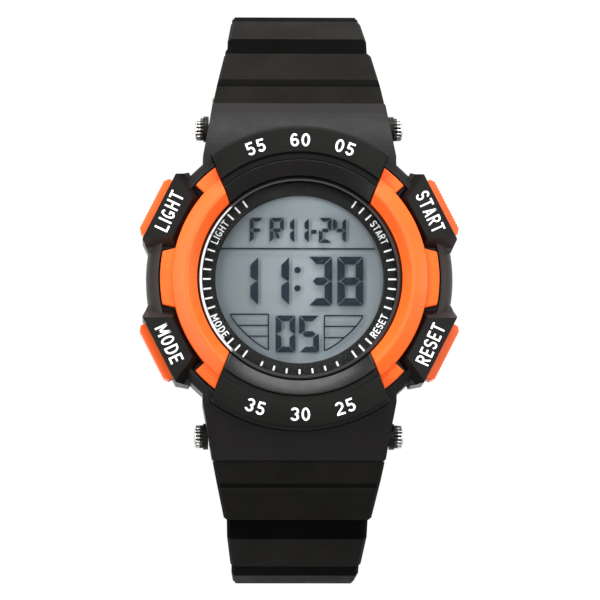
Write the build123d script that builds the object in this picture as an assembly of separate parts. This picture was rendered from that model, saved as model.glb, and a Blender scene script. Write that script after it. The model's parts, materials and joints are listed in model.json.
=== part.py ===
from build123d import *
from math import asin, cos, degrees, radians, sin, sqrt, tan
import os

# Digital sports watch, in millimetres.
# The origin is the centre of the case back's outer face. +Z points out of the display,
# +Y to twelve o'clock and +X to three o'clock.
# The watch is shown unbuckled, with both strap halves in their worn curve.

# Driving dimensions: case body
case_radius = 20.55
case_floor = 0.4
case_bevel = 1.2
case_wall = 6.4
rim_step = 1.65
rim_bulge = 0.25
rim_rise = 0.9
deck_thickness = 1.1
cavity_drop = 0.1
shoulder_angle = 47
shoulder_cut = 0.45

# Button guards, measured outwards and across from each guard's own centre line
guard_angle = 27
guard_overhang = 0.55
guard_rise = 2.1
guard_foot = 1.6
guard_depth_share = 0.1635
guard_outer_share = 0.2251
guard_inner_share = 0.1422
guard_flare_share = 0.0521
guard_corner_share = 0.2322
guard_wing_share = 0.2844
guard_wing_step_share = 0.0664

# Hooded lugs
hood_length = 3.55
hood_top_drop = 0.9
hood_end_drop = 2.6
hood_top_step = 3.8
hood_bend_radius = 17.6
hood_root_step = 0.55
hood_mid_step = 3.5
hood_end_half = 11.75
hood_mid_spread = 0.45
hood_root_spread = 0.75
hood_corner = 0.7
lug_foot = 0.7
lug_bevel = 1.6
ear_width = 1.8

# Lug pins, bushes and knobs
pin_step = 3.3
pin_height = 3.6
pin_radius = 0.9
pin_clearance = 0.05
bush_radius = 1.75
bush_sink = 0.05
bush_length = 0.7
knob_radius = 1.55
knob_length = 1.25
knob_teeth = 12
knob_tooth_depth = 0.22
knob_crest_share = 0.42
knob_root_start_share = 0.58
knob_root_end_share = 0.84
knob_bevel = 0.18
knob_socket = 0.65

# Accent ring
ring_inset = 1.83
ring_slope_width = 1.67
ring_crest_width = 0.45
ring_rise_width = 1.23
ring_lip_rise = 1.95
ring_crest_rise = 3.15
ring_outer_rise = 2.35
ring_low_rise = 1.1
ring_gap = 0.1
tab_length = 1.58
tab_inner_rise = 1.9
tab_outer_rise = 1.6
tab_inner_share = 0.2314
tab_outer_share = 0.1903
end_tab_angle = 41.8

# Bezel arches
arch_inset = 0.22
arch_skirt_step = 0.18
arch_rise = 0.45
arch_outer_drop = 0.25
arch_wall_drop = 0.4
arch_bevel = 0.35
arch_band_width = 3.58
arch_groove_depth = 0.8
arch_groove_slope = 0.15
arch_groove_width = 0.85
arch_groove_rise = 0.2
arch_cone_rise = 0.25
arch_lip = 0.35
arch_lip_reach = 0.6
arch_inner_angle = 47.09
arch_outer_angle = 54.36
arch_clearance = 0.05
peg_radius = 0.6
peg_length = 0.8
peg_angle = 72

# Lens, gasket and dial ring
lens_inset = 0.12
lens_thickness = 1.95
lens_bevel_width = 0.5
lens_bevel_drop = 0.3
lens_seat_drop = 0.4
lens_clearance = 0.1
gasket_width = 0.4
gasket_thickness = 0.2
dial_clearance = 0.05
dial_width = 1.83
dial_thickness = 0.55
dial_gap = 0.15
dial_bevel = 0.2

# Case back, its gasket and screws
back_overlap = 2.15
back_thickness = 1.0
back_gap = 0.1
lobe_step = 0.3
lobe_radius = 1.8
lobe_angle = 45
seal_step = 0.9
seal_thickness = 0.42
seal_clearance = 0.03
back_screw_radius = 0.75
back_screw_head_radius = 1.35
back_screw_head = 0.65
back_screw_sink = 0.05
back_screw_length = 3.6
slot_width = 0.3
slot_depth = 0.25
thread_clearance = 0.03

# Module: frame, board, holder and display
module_gap = 1.55
module_floor_gap = 0.7
battery_wall = 2.6
battery_sink = 0.2
battery_thickness = 2.5
battery_shoulder = 0.6
battery_y = 1.8
battery_clearance = 0.12
clip_thickness = 0.2
clip_inset = 0.4
clip_width = 4.0
module_screw_inset = 1.15
module_screw_radius = 0.45
module_screw_head_radius = 0.7
module_screw_head = 0.3
module_screw_length = 2.6
component_bay_share = 0.4524
component_bay_outer_share = 0.8651
component_bay_depth = 2.0
crystal_radius = 0.9
crystal_length_share = 0.9474
crystal_x_share = 0.4912
buzzer_inset = 1.9
buzzer_thickness = 0.3
buzzer_spring_radius = 0.6
buzzer_spring_wall = 0.2
buzzer_spring_share = 0.4386
board_inset = 0.2
board_thickness = 0.7
stack_gap = 0.05
blob_radius = 2.6
blob_height = 0.8
blob_y = -2.0
blob_pocket = 0.5
holder_depth = 3.05
lcd_inset = 0.5
lcd_flat = 0.5
lcd_thickness = 1.1
lcd_glass_step = 0.4
lcd_clearance = 0.08
backlight_inset = 2.0
backlight_thickness = 0.6
zebra_share = 0.3793
zebra_width = 0.9
zebra_inset = 0.75

# Buttons, measured outwards along each guard's centre line
button_drop = 2.9
button_travel = 0.6
cap_length_share = 0.3886
cap_tall = 4.4
cap_proud = 1.15
cap_depth = 2.3
cap_end_bevel = 0.5
cap_clearance = 0.12
cap_socket = 1.2
rib_pitch = 0.41
rib_depth = 0.13
stem_radius = 0.7
stem_clearance = 0.03
stem_contact_gap = 0.84
retainer_step = 0.27
retainer_thickness = 0.25
retainer_radius = 1.35
retainer_slot = 0.9
tube_radius = 1.15
tube_step = 0.45
seal_length = 0.35
seal_gap = 0.05
spring_space = 2.45
spring_radius = 1.3
spring_wall = 0.3
contact_gap = 0.06
contact_thickness = 0.15
contact_width = 2.4
contact_tall = 2.2

# Strap: both halves follow one circle, seen from the side
band_inner = 32.6
band_thickness = 2.4
band_root_angle = 32.23
band_root_inset = 0.44
armour_rise = 1.0
armour_step = 0.8
knuckle_radius = 3.1
knuckle_gap = 0.25
knuckle_side_gap = 0.25
neck_top_drop = 0.25
neck_bottom = 2.1
strap_gap = 0.25
swing_angle = 12
band_share = 0.3532
section_bevel = 0.45
armour_start_angle = 33
armour_angles = (40.6, 51.4, 58.2, 71.0, 77.7, 90.1)
armour_width_shares = (0.966, 0.9404, 0.8511, 0.817, 0.8085, 0.7617, 0.7489, 0.7447, 0.7191)
strap_bore_clearance = 0.08

# Strap half with the holes
tail_angle = 180
tail_length = 21.0
tail_corner = 5.5
hole_radius = 1.25
hole_pitch = 6.2
hole_start_angle = 104
hole_margin = 12.0

# Strap half with the buckle
run_angle = 110
run_length = 12.9
loop_radius = 1.9
loop_gap = 1.0
tongue_slot_gap = 0.4

# Buckle and keeper
buckle_pin_radius = 0.75
buckle_side_gap = 1.0
buckle_arm_width = 1.9
buckle_thickness = 2.2
buckle_top = 1.6
buckle_reach = 8.0
buckle_bar_width = 2.0
buckle_corner = 2.0
buckle_edge = 0.45
tongue_half = 1.2
tongue_eye = 1.4
tongue_thickness = 1.0
tongue_overhang = 1.8
tongue_gap = 0.06
pin_end_inset = 0.3
keeper_place = 5.0
keeper_width = 4.5
keeper_wall = 0.9
keeper_side_gap = 0.2
keeper_under_gap = 0.15
keeper_over_gap = 2.5
keeper_corner = 1.0

# One overrun serves every cut
over = 1.0
far = 60.0

# Heights, from the case back up through the module to the bezel
module_base = back_thickness + module_floor_gap
battery_base = module_base + battery_sink
module_height = battery_base + battery_thickness + battery_sink
board_top = module_height + stack_gap + board_thickness
holder_height = board_top + holder_depth
cavity_height = holder_height - cavity_drop
wall_height = cavity_height
deck_height = cavity_height + deck_thickness
rim_height = deck_height + rim_rise
guard_height = deck_height + guard_rise
button_height = deck_height - button_drop
hood_top_height = deck_height - hood_top_drop
hood_end_height = hood_top_height - hood_end_drop
ring_lip_height = deck_height + ring_lip_rise
ring_crest_height = deck_height + ring_crest_rise
ring_outer_height = deck_height + ring_outer_rise
ring_low_height = deck_height + ring_low_rise
tab_inner_height = deck_height + tab_inner_rise
tab_outer_height = deck_height + tab_outer_rise
arch_foot = wall_height - arch_clearance
arch_height = ring_crest_height + arch_rise
arch_outer_height = arch_height - arch_outer_drop
arch_wall_height = arch_outer_height - arch_wall_drop
arch_groove_height = arch_height - arch_groove_depth
arch_cone_height = arch_groove_height + arch_cone_rise
arch_cone_foot = ring_lip_height + arch_clearance
lens_seat = deck_height - lens_seat_drop
lens_base = lens_seat + gasket_thickness
lens_height = lens_base + lens_thickness
dial_height = lens_base - dial_gap
dial_base = dial_height - dial_thickness

# Case: radii from the case wall inwards, and the guards from their reach
rim_radius = case_radius - rim_step
cavity_radius = case_radius - case_wall
shoulder_reach = case_radius - shoulder_cut
guard_reach = case_radius + guard_overhang
guard_face_depth = guard_reach * guard_depth_share
guard_outer_half = guard_reach * guard_outer_share
guard_inner_half = guard_reach * guard_inner_share
guard_flare = guard_reach * guard_flare_share
guard_corner_half = guard_reach * guard_corner_share
guard_wing_half = guard_reach * guard_wing_share
guard_wing_reach = guard_reach - guard_reach * guard_wing_step_share

# Hoods and lug pins
hood_end = case_radius + hood_length
hood_top_place = hood_end - hood_top_step
hood_mid_place = hood_end - hood_mid_step
hood_root = cavity_radius - hood_root_step
hood_mid_half = hood_end_half + hood_mid_spread
hood_root_half = hood_mid_half + hood_root_spread
ear_gap_half = hood_end_half - ear_width
hood_chord = sqrt((hood_end - hood_top_place) ** 2 + (hood_top_height - hood_end_height) ** 2)
hood_half_turn = asin(hood_chord / hood_bend_radius / 2)
hood_chord_fall = asin((hood_top_height - hood_end_height) / hood_chord)
hood_start_fall = hood_chord_fall - hood_half_turn
hood_bend_y = hood_top_place - hood_bend_radius * sin(hood_start_fall)
hood_bend_z = hood_top_height - hood_bend_radius * cos(hood_start_fall)
pin_place = hood_end - pin_step
bush_start = hood_mid_half - bush_sink
knob_start = bush_start + bush_length
hollow_radius = knuckle_radius + knuckle_gap

# Accent ring, arches and lens
ring_outer = rim_radius - ring_inset
ring_crest_outer = ring_outer - ring_slope_width
ring_crest_radius = ring_crest_outer - ring_crest_width
ring_inner = ring_crest_radius - ring_rise_width
tab_reach = ring_outer + tab_length
tab_inner_half = ring_outer * tab_inner_share
tab_outer_half = tab_reach * tab_outer_share
arch_outer = case_radius - arch_inset
arch_skirt_inner = ring_outer + arch_skirt_step
arch_band_inner = arch_outer - arch_band_width
arch_groove_inner = arch_band_inner - arch_groove_width
arch_cone_outer = arch_groove_inner - arch_groove_rise
arch_edge_inner_x = ring_inner * cos(radians(arch_inner_angle))
arch_edge_inner_y = ring_inner * sin(radians(arch_inner_angle))
arch_edge_outer_x = arch_outer * cos(radians(arch_outer_angle))
arch_edge_outer_y = arch_outer * sin(radians(arch_outer_angle))
edge_slope = (arch_edge_outer_x - arch_edge_inner_x) / (arch_edge_outer_y - arch_edge_inner_y)
peg_place = (arch_outer + ring_outer) / 2
peg_x = peg_place * cos(radians(peg_angle))
peg_y = peg_place * sin(radians(peg_angle))
lens_radius = ring_inner - lens_inset
gasket_inner = lens_radius - gasket_width
window_radius = gasket_inner - dial_clearance
dial_outer = window_radius - dial_clearance
dial_inner = dial_outer - dial_width

# Case back and module
back_radius = cavity_radius + back_overlap
lobe_place = back_radius + lobe_step
seal_radius = cavity_radius + seal_step
module_radius = cavity_radius - module_gap
battery_radius = module_radius - battery_wall
clip_half = module_radius - clip_inset
module_screw_place = module_radius - module_screw_inset
component_bay_half = module_radius * component_bay_share
component_bay_outer = module_radius * component_bay_outer_share
component_bay_inner = component_bay_outer - component_bay_depth
component_y = -(component_bay_inner + component_bay_outer) / 2
crystal_length = component_bay_half * crystal_length_share
crystal_x = -component_bay_half * crystal_x_share
buzzer_radius = module_radius - buzzer_inset
buzzer_spring_x = component_bay_half * buzzer_spring_share
board_radius = module_radius - board_inset
lcd_radius = module_radius - lcd_inset
lcd_half = lcd_radius - lcd_flat
backlight_radius = lcd_radius - backlight_inset
zebra_place = lcd_half - zebra_inset
zebra_half = lcd_half * zebra_share

# Buttons
cap_length = guard_reach * cap_length_share
cap_seat = guard_reach + cap_proud - cap_depth
recess_floor = cap_seat - button_travel - cap_clearance
spring_seat = cap_seat - spring_space
seal_start = spring_seat - seal_length - seal_gap
tube_start = cavity_radius + tube_step
contact_place = module_radius + contact_gap
stem_end = contact_place + stem_contact_gap
retainer_place = stem_end + retainer_step

# Strap, buckle and keeper
band_outer = band_inner + band_thickness
band_middle = (band_inner + band_outer) / 2
armour_crest = band_outer + armour_rise
band_centre_y = pin_place - (band_inner - band_root_inset) * sin(radians(band_root_angle))
band_centre_z = pin_height - (band_inner - band_root_inset) * cos(radians(band_root_angle))
band_half = 2 * hood_end_half * band_share
buckle_arm_inner = band_half + buckle_side_gap
buckle_arm_outer = buckle_arm_inner + buckle_arm_width
buckle_bar_end = buckle_reach + buckle_bar_width
tongue_length = buckle_reach + tongue_overhang
tongue_slot_half = tongue_half + tongue_slot_gap


def save(shape, name):
    export_step(shape, f"parts/{name}.step")


def plate(radius, low, high):
    return Pos(0, 0, low) * Cylinder(radius, high - low, align=(Align.CENTER, Align.CENTER, Align.MIN))


def ring(outer, inner, low, high):
    return plate(outer, low, high) - plate(inner, low - over, high + over)


def turned(points):
    return revolve(Plane.XZ * make_face(Polyline(*points, close=True)), Axis.Z)


def slab(x0, x1, y0, y1, z0, z1):
    return Pos((x0 + x1) / 2, (y0 + y1) / 2, (z0 + z1) / 2) * Box(x1 - x0, y1 - y0, z1 - z0)


def side_prism(points, x0, x1):
    face = Plane.YZ * make_face(Polyline(*points, close=True))
    return Pos(x0, 0, 0) * extrude(face, x1 - x0)


def plan_prism(points, low, high):
    return Pos(0, 0, low) * extrude(make_face(Polyline(*points, close=True)), high - low)


def cross_rod(radius, x0, x1, y, z):
    return Pos((x0 + x1) / 2, y, z) * Rot(0, 90, 0) * Cylinder(radius, x1 - x0)


def radial_rod(radius, start, end):
    return Pos((start + end) / 2, 0, button_height) * Rot(0, 90, 0) * Cylinder(radius, end - start)


def at_buttons(shape):
    angles = (180 - guard_angle, 180 + guard_angle, guard_angle, -guard_angle)
    return [Rot(0, 0, angle) * shape for angle in angles]


def turned_about(shape):
    return Rot(0, 0, 180) * shape


# Wedge between the two side edges of an arch, towards twelve o'clock
def arch_wedge(low, high, gap=0):
    near = arch_edge_inner_y - over
    near_x = arch_edge_inner_x - over * edge_slope + gap
    out = case_radius + over
    out_x = arch_edge_outer_x + (out - arch_edge_outer_y) * edge_slope + gap
    return plan_prism([(-near_x, near), (near_x, near), (out_x, out), (-out_x, out)], low, high)


# A guard's sloped block, with its labelled face on top and its outer side upright
def guard_block():
    inner = guard_reach - guard_face_depth
    lean = (guard_outer_half - guard_inner_half) / guard_face_depth
    spread = guard_flare * sqrt(1 + lean ** 2)
    foot_inner = inner - guard_flare
    foot_outer_half = guard_outer_half + spread
    foot_inner_half = foot_outer_half - (guard_reach - foot_inner) * lean
    top = [(guard_reach, -guard_outer_half), (guard_reach, guard_outer_half),
           (inner, guard_inner_half), (inner, -guard_inner_half)]
    foot = [(guard_reach, -foot_outer_half), (guard_reach, foot_outer_half),
            (foot_inner, foot_inner_half), (foot_inner, -foot_inner_half)]
    sloped = loft([Pos(0, 0, deck_height) * make_face(Polyline(*foot, close=True)),
                   Pos(0, 0, guard_height) * make_face(Polyline(*top, close=True))], ruled=True)
    outline = [(foot_inner, -foot_inner_half), (guard_wing_reach, -guard_wing_half),
               (guard_reach, -guard_corner_half), (guard_reach, guard_corner_half),
               (guard_wing_reach, guard_wing_half), (foot_inner, foot_inner_half)]
    column = plan_prism(outline, guard_foot, guard_height + over)
    base = plan_prism(outline, guard_foot, deck_height)
    return (sloped & column) + base


# A lug's hood and ears: the side profile cut to its plan outline
def hood_block():
    def top(y):
        return hood_bend_z + sqrt(hood_bend_radius ** 2 - (y - hood_bend_y) ** 2)

    middle = (hood_root + hood_end) / 2
    outline = [(hood_root, lug_foot), (hood_end - lug_bevel, lug_foot),
               (hood_end, lug_foot + lug_bevel), (hood_end, hood_end_height)]
    walls = Polyline((hood_root, top(hood_root)), *outline)
    roof = ThreePointArc((hood_end, hood_end_height), (middle, top(middle)), (hood_root, top(hood_root)))
    profile = Plane.YZ * make_face([walls, roof])
    block = extrude(profile, hood_root_half, both=True)
    rise = hood_mid_place - hood_root
    root_half = hood_mid_half + (hood_root_half - hood_mid_half) * rise / (hood_mid_place - arch_edge_outer_y)
    plan = [(-root_half, hood_root), (-hood_mid_half, hood_mid_place),
            (-hood_end_half, hood_end - hood_corner), (hood_corner - hood_end_half, hood_end),
            (hood_end_half - hood_corner, hood_end), (hood_end_half, hood_end - hood_corner),
            (hood_mid_half, hood_mid_place), (root_half, hood_root)]
    return block & plan_prism(plan, lug_foot - over, deck_height + rim_height)


# The space under a hood where the strap's knuckle turns
def knuckle_hollow():
    near = pin_place - hollow_radius
    barrel = cross_rod(hollow_radius, -ear_gap_half, ear_gap_half, pin_place, pin_height)
    mouth = slab(-ear_gap_half, ear_gap_half, near, hood_end + over, -over, pin_height)
    return barrel + mouth


def barrel_shell():
    middle_r = (rim_radius + case_radius) / 2 + rim_bulge
    middle_z = (rim_height + wall_height) / 2 + rim_bulge
    walls = Polyline((rim_radius, rim_height), (rim_radius, deck_height), (0, deck_height), (0, case_floor),
                     (case_radius - case_bevel, case_floor), (case_radius, case_floor + case_bevel),
                     (case_radius, wall_height))
    crown = ThreePointArc((case_radius, wall_height), (middle_r, middle_z), (rim_radius, rim_height))
    body = revolve(Plane.XZ * make_face([walls, crown]), Axis.Z)
    for angle in (shoulder_angle, 180 - shoulder_angle, 180 + shoulder_angle, -shoulder_angle):
        flat = slab(shoulder_reach, far, -guard_corner_half, guard_corner_half, -over, guard_height)
        body -= Rot(0, 0, angle) * flat
    return body


def lobes(radius, low, high):
    shape = Pos(lobe_place, 0, 0) * plate(radius, low, high)
    return [Rot(0, 0, lobe_angle + 90 * i) * shape for i in range(4)]


def case_body():
    body = barrel_shell()
    body += at_buttons(guard_block())
    hood = hood_block() - plate(rim_radius, deck_height, far)
    body += [hood, turned_about(hood)]

    # Pockets for the accent ring and the two arches
    body -= plate(ring_outer + ring_gap, deck_height, far)
    pocket = ring(arch_outer + ring_gap, ring_outer + ring_gap, arch_foot - arch_clearance, far)
    pocket &= arch_wedge(0, far - over, ring_gap)
    peg_hole = Pos(peg_x, peg_y, 0) * plate(peg_radius + arch_clearance, arch_foot - peg_length - ring_gap, far)
    cuts = [pocket, peg_hole, mirror(peg_hole, Plane.YZ), knuckle_hollow()]
    body -= cuts
    body -= [turned_about(cut) for cut in cuts]

    # Cavity for the module, window and lens seat
    body -= [plate(cavity_radius, -over, cavity_height), plate(window_radius, 0, far)]
    body -= plate(lens_radius + lens_clearance, lens_seat, far)

    # Recess for the case back, groove for its gasket and threads for its screws
    body -= plate(back_radius + back_gap, -over, back_thickness)
    body -= lobes(lobe_radius + back_gap, -over, back_thickness)
    body -= lobes(back_screw_radius + thread_clearance, -over, back_thickness + back_screw_length)
    groove_half = seal_thickness + seal_clearance
    body -= ring(seal_radius + groove_half, seal_radius - groove_half, back_thickness - over,
                 back_thickness + 2 * groove_half)

    # Openings for the four buttons
    recess_half = cap_length / 2 + cap_clearance
    recess = slab(recess_floor, far, -recess_half, recess_half, button_height - cap_tall / 2 - cap_clearance,
                  button_height + cap_tall / 2 + cap_clearance)
    opening = recess + radial_rod(tube_radius + thread_clearance, cavity_radius - over, spring_seat)
    opening += radial_rod(spring_radius + cap_clearance, spring_seat, recess_floor + over)
    body -= at_buttons(opening)

    # Bores for the lug pins, with a flat seat for each bush
    bore = cross_rod(pin_radius + pin_clearance, -far, far, pin_place, pin_height)
    seat = cross_rod(bush_radius + pin_clearance, bush_start, far, pin_place, pin_height)
    bore += [seat, mirror(seat, Plane.YZ)]
    body -= [bore, turned_about(bore)]
    return body


def ring_profile():
    return [(ring_inner, deck_height), (ring_inner, ring_lip_height), (ring_crest_radius, ring_crest_height),
            (ring_crest_outer, ring_crest_height), (ring_outer, ring_outer_height), (ring_outer, deck_height)]


def accent_ring():
    body = turned(ring_profile())
    tabs = turned([(ring_outer - ring_gap, deck_height), (ring_outer - ring_gap, tab_inner_height),
                   (tab_reach, tab_outer_height), (tab_reach, deck_height)])
    run = tab_reach - ring_outer
    slope = (tab_inner_half - tab_outer_half) / run
    far_half = tab_outer_half - over * slope
    middle = [(ring_outer - over, tab_inner_half + over * slope), (tab_reach + over, far_half),
              (tab_reach + over, -far_half), (ring_outer - over, -tab_inner_half - over * slope)]
    keep = plan_prism(middle, 0, far)
    reach = tab_reach + over
    start = (reach * cos(radians(end_tab_angle)), reach * sin(radians(end_tab_angle)))
    root = (arch_cone_outer * cos(radians(end_tab_angle)), arch_cone_outer * sin(radians(end_tab_angle)))
    end_tab = plan_prism([root, start, (start[0], far), (0, far), (0, root[1])], 0, far)
    keep += [end_tab, mirror(end_tab, Plane.XZ)]
    side = tabs & keep
    body += [side, mirror(side, Plane.YZ)]
    above = arch_wedge(ring_low_height, far, ring_gap)
    beyond = ring(far, ring_outer, 0, far) & arch_wedge(0, far, ring_gap)
    cuts = [above, beyond]
    body -= cuts
    body -= [turned_about(cut) for cut in cuts]
    return body


def bezel_arch():
    top = [(arch_outer, arch_foot), (arch_outer, arch_wall_height), (arch_outer - arch_bevel, arch_outer_height),
           (arch_band_inner, arch_height), (arch_band_inner - arch_groove_slope, arch_groove_height),
           (arch_groove_inner, arch_groove_height), (arch_cone_outer, arch_cone_height),
           (ring_inner, arch_cone_foot), (ring_inner, arch_cone_foot - arch_lip),
           (ring_inner + arch_lip_reach, ring_low_height + arch_clearance),
           (arch_skirt_inner, ring_low_height + arch_clearance), (arch_skirt_inner, arch_foot)]
    body = turned(top) & arch_wedge(0, far)
    peg = Pos(peg_x, peg_y, 0) * plate(peg_radius, arch_foot - peg_length, arch_foot + arch_lip)
    return body + [peg, mirror(peg, Plane.YZ)]


def lens():
    return turned([(0, lens_base), (lens_radius, lens_base), (lens_radius, lens_height - lens_bevel_drop),
                   (lens_radius - lens_bevel_width, lens_height), (0, lens_height)])


def dial_ring():
    return turned([(dial_inner, dial_base), (dial_outer, dial_base), (dial_outer, dial_height),
                   (dial_inner + dial_bevel, dial_height), (dial_inner, dial_height - dial_bevel)])


def case_back():
    body = plate(back_radius, 0, back_thickness)
    body += lobes(lobe_radius, 0, back_thickness)
    body -= lobes(back_screw_radius + back_gap, -over, back_thickness + over)
    sunk = back_screw_head + back_screw_sink
    return body - lobes(back_screw_head_radius + back_gap, -over, sunk)


def case_back_gasket():
    return Pos(0, 0, back_thickness + seal_thickness) * Torus(seal_radius, seal_thickness)


def case_back_screws():
    head = plate(back_screw_head_radius, back_screw_sink, back_screw_sink + back_screw_head)
    head += plate(back_screw_radius, back_screw_sink, back_screw_sink + back_screw_length)
    reach = back_screw_head_radius + over
    head -= slab(-reach, reach, -slot_width / 2, slot_width / 2, -over, back_screw_sink + slot_depth)
    screw = Pos(lobe_place, 0, 0) * head
    return Compound(children=[Rot(0, 0, lobe_angle + 90 * i) * screw for i in range(4)])


def component_bay(low, high):
    return slab(-component_bay_half, component_bay_half, -component_bay_outer, -component_bay_inner, low, high)


def module_frame():
    body = plate(module_radius, module_base, module_height)
    body -= Pos(0, battery_y, 0) * plate(battery_radius + battery_clearance, 0, far)
    body -= component_bay(0, far)
    hole = Pos(module_screw_place, battery_y, 0) * plate(module_screw_radius + thread_clearance, 0, far)
    return body - [hole, mirror(hole, Plane.YZ)]


def battery():
    base = battery_base + battery_thickness
    can = plate(battery_radius, battery_base + battery_shoulder, base)
    return Pos(0, battery_y, 0) * (can + plate(battery_radius - battery_shoulder, battery_base, base))


def battery_clip():
    high = module_base - stack_gap
    body = slab(-clip_half, clip_half, battery_y - clip_width / 2, battery_y + clip_width / 2, high - clip_thickness, high)
    body &= plate(module_radius, 0, far)
    hole = Pos(module_screw_place, battery_y, 0) * plate(module_screw_radius + thread_clearance, 0, far)
    return body - [hole, mirror(hole, Plane.YZ)]


def module_screws():
    top = module_base - stack_gap - clip_thickness
    screw = plate(module_screw_head_radius, top - module_screw_head, top)
    screw += plate(module_screw_radius, top - module_screw_head, top + module_screw_length)
    screw = Pos(module_screw_place, battery_y, 0) * screw
    return Compound(children=[screw, mirror(screw, Plane.YZ)])


def circuit_board():
    low = module_height + stack_gap
    return plate(board_radius, low, low + board_thickness)


def chip_blob():
    ball = (blob_radius ** 2 + blob_height ** 2) / (2 * blob_height)
    dome = Pos(0, 0, board_top + blob_height - ball) * Sphere(ball)
    return Pos(0, blob_y, 0) * (dome & plate(blob_radius + over, board_top, board_top + blob_height + over))


def quartz_crystal():
    z = module_height + stack_gap - crystal_radius - stack_gap
    return cross_rod(crystal_radius, crystal_x - crystal_length / 2, crystal_x + crystal_length / 2, component_y, z)


def buzzer_disc():
    return plate(buzzer_radius, back_thickness, back_thickness + buzzer_thickness)


def buzzer_spring():
    low = back_thickness + buzzer_thickness
    sleeve = ring(buzzer_spring_radius, buzzer_spring_radius - buzzer_spring_wall, low, module_height + stack_gap)
    return Pos(buzzer_spring_x, component_y, 0) * sleeve


def lcd_outline(radius, half, low, high):
    return plate(radius, low, high) & slab(-half, half, -half, half, low, high)


def lcd_low():
    return holder_height - lcd_thickness


def display_holder():
    low = board_top + stack_gap
    body = plate(module_radius, low, holder_height)
    body -= lcd_outline(lcd_radius + lcd_clearance, lcd_half + lcd_clearance, lcd_low(), far)
    glow = lcd_low() - backlight_thickness - stack_gap
    body -= plate(backlight_radius + lcd_clearance, glow - stack_gap, far)
    body -= Pos(0, blob_y, 0) * plate(blob_radius + blob_pocket, 0, board_top + blob_height + stack_gap)
    slot = slab(-zebra_half - lcd_clearance, zebra_half + lcd_clearance,
                zebra_place - zebra_width / 2 - lcd_clearance / 2,
                zebra_place + zebra_width / 2 + lcd_clearance / 2, 0, far)
    return body - [slot, mirror(slot, Plane.XZ)]


def lcd_panel():
    low = lcd_low()
    middle = low + lcd_thickness / 2
    back_glass = lcd_outline(lcd_radius, lcd_half, low, middle)
    front_glass = lcd_outline(lcd_radius, lcd_half, middle, holder_height - stack_gap)
    ledge = slab(-far, far, lcd_half - lcd_glass_step, far, middle, far)
    return back_glass + (front_glass - [ledge, mirror(ledge, Plane.XZ)])


def backlight_panel():
    high = lcd_low() - stack_gap
    return plate(backlight_radius, high - backlight_thickness, high)


def zebra_connectors():
    strip = slab(-zebra_half, zebra_half, zebra_place - zebra_width / 2,
                 zebra_place + zebra_width / 2, board_top, lcd_low())
    return Compound(children=[strip, mirror(strip, Plane.XZ)])


def side_contacts():
    leaf = slab(contact_place, contact_place + contact_thickness, -contact_width / 2, contact_width / 2,
                button_height - contact_tall / 2, button_height + contact_tall / 2)
    return Compound(children=at_buttons(leaf))


# One button's cap: a bar with a ribbed outer side
def button_cap():
    outer = guard_reach + cap_proud
    half = cap_length / 2
    ribs = int((cap_length - 2 * cap_end_bevel) / rib_pitch)
    step = (cap_length - 2 * cap_end_bevel) / ribs
    points = [(cap_seat, -half), (outer - cap_end_bevel, -half), (outer - rib_depth, cap_end_bevel - half)]
    for i in range(ribs):
        start = cap_end_bevel - half + i * step
        points.append((outer, start + step / 2))
        points.append((outer - rib_depth, start + step))
    points += [(outer - cap_end_bevel, half), (cap_seat, half)]
    low = button_height - cap_tall / 2
    body = plan_prism(points, low, low + cap_tall)
    return body - radial_rod(stem_radius + stem_clearance, cap_seat - over, cap_seat + cap_socket)


def button_stem():
    return radial_rod(stem_radius, stem_end, cap_seat + cap_socket)


def button_clip():
    end = retainer_place + retainer_thickness
    disc = radial_rod(retainer_radius, retainer_place, end)
    disc -= radial_rod(stem_radius + stem_clearance / 3, retainer_place - over, end + over)
    slot = slab(retainer_place - over, end + over, -retainer_slot / 2, retainer_slot / 2, button_height - far, button_height)
    return disc - slot


def button_spring():
    start = spring_seat
    sleeve = radial_rod(spring_radius, start, cap_seat)
    return sleeve - radial_rod(spring_radius - spring_wall, start - over, cap_seat + over)


def button_tube():
    return (radial_rod(tube_radius, tube_start, seal_start)
            - radial_rod(stem_radius + stem_clearance, tube_start - over, seal_start + over))


def button_seal():
    end = seal_start + seal_length
    return (radial_rod(tube_radius, seal_start, end)
            - radial_rod(stem_radius + stem_clearance, seal_start - over, end + over))


def lug_pins():
    end = knob_start + knob_socket - pin_clearance
    pin = cross_rod(pin_radius, -end, end, pin_place, pin_height)
    return Compound(children=[pin, turned_about(pin)])


def at_pin_ends(shape):
    pair = [shape, mirror(shape, Plane.YZ)]
    return Compound(children=pair + [turned_about(one) for one in pair])


def pin_bushes():
    bush = cross_rod(bush_radius, bush_start, knob_start, pin_place, pin_height)
    return at_pin_ends(bush - cross_rod(pin_radius + pin_clearance, 0, far, pin_place, pin_height))


# A knob is a toothed head: its rim goes in and out once for each tooth
def pin_knobs():
    points = []
    root = knob_radius - knob_tooth_depth
    tooth = ((0, knob_radius), (knob_crest_share, knob_radius), (knob_root_start_share, root),
             (knob_root_end_share, root))
    for i in range(knob_teeth):
        for share, radius in tooth:
            turn = radians(360 / knob_teeth * (i + share))
            points.append((radius * cos(turn), radius * sin(turn)))
    head = extrude(make_face(Polyline(*points, close=True)), knob_length)
    cone = turned([(0, -over), (knob_radius + over, -over), (knob_radius + over, knob_length - knob_bevel - over),
                   (knob_radius - knob_bevel, knob_length), (0, knob_length)])
    head = (head & cone) - plate(pin_radius + pin_clearance, -over, knob_socket)
    return at_pin_ends(Pos(knob_start, pin_place, pin_height) * Rot(0, 90, 0) * head)


# Plane square to the strap's circle at an angle from the vertical; its Y axis points to the centre
def strap_plane(angle):
    along = (0, cos(radians(angle)), -sin(radians(angle)))
    return Plane(origin=(0, band_centre_y, band_centre_z), x_dir=(1, 0, 0), z_dir=along)


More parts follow.
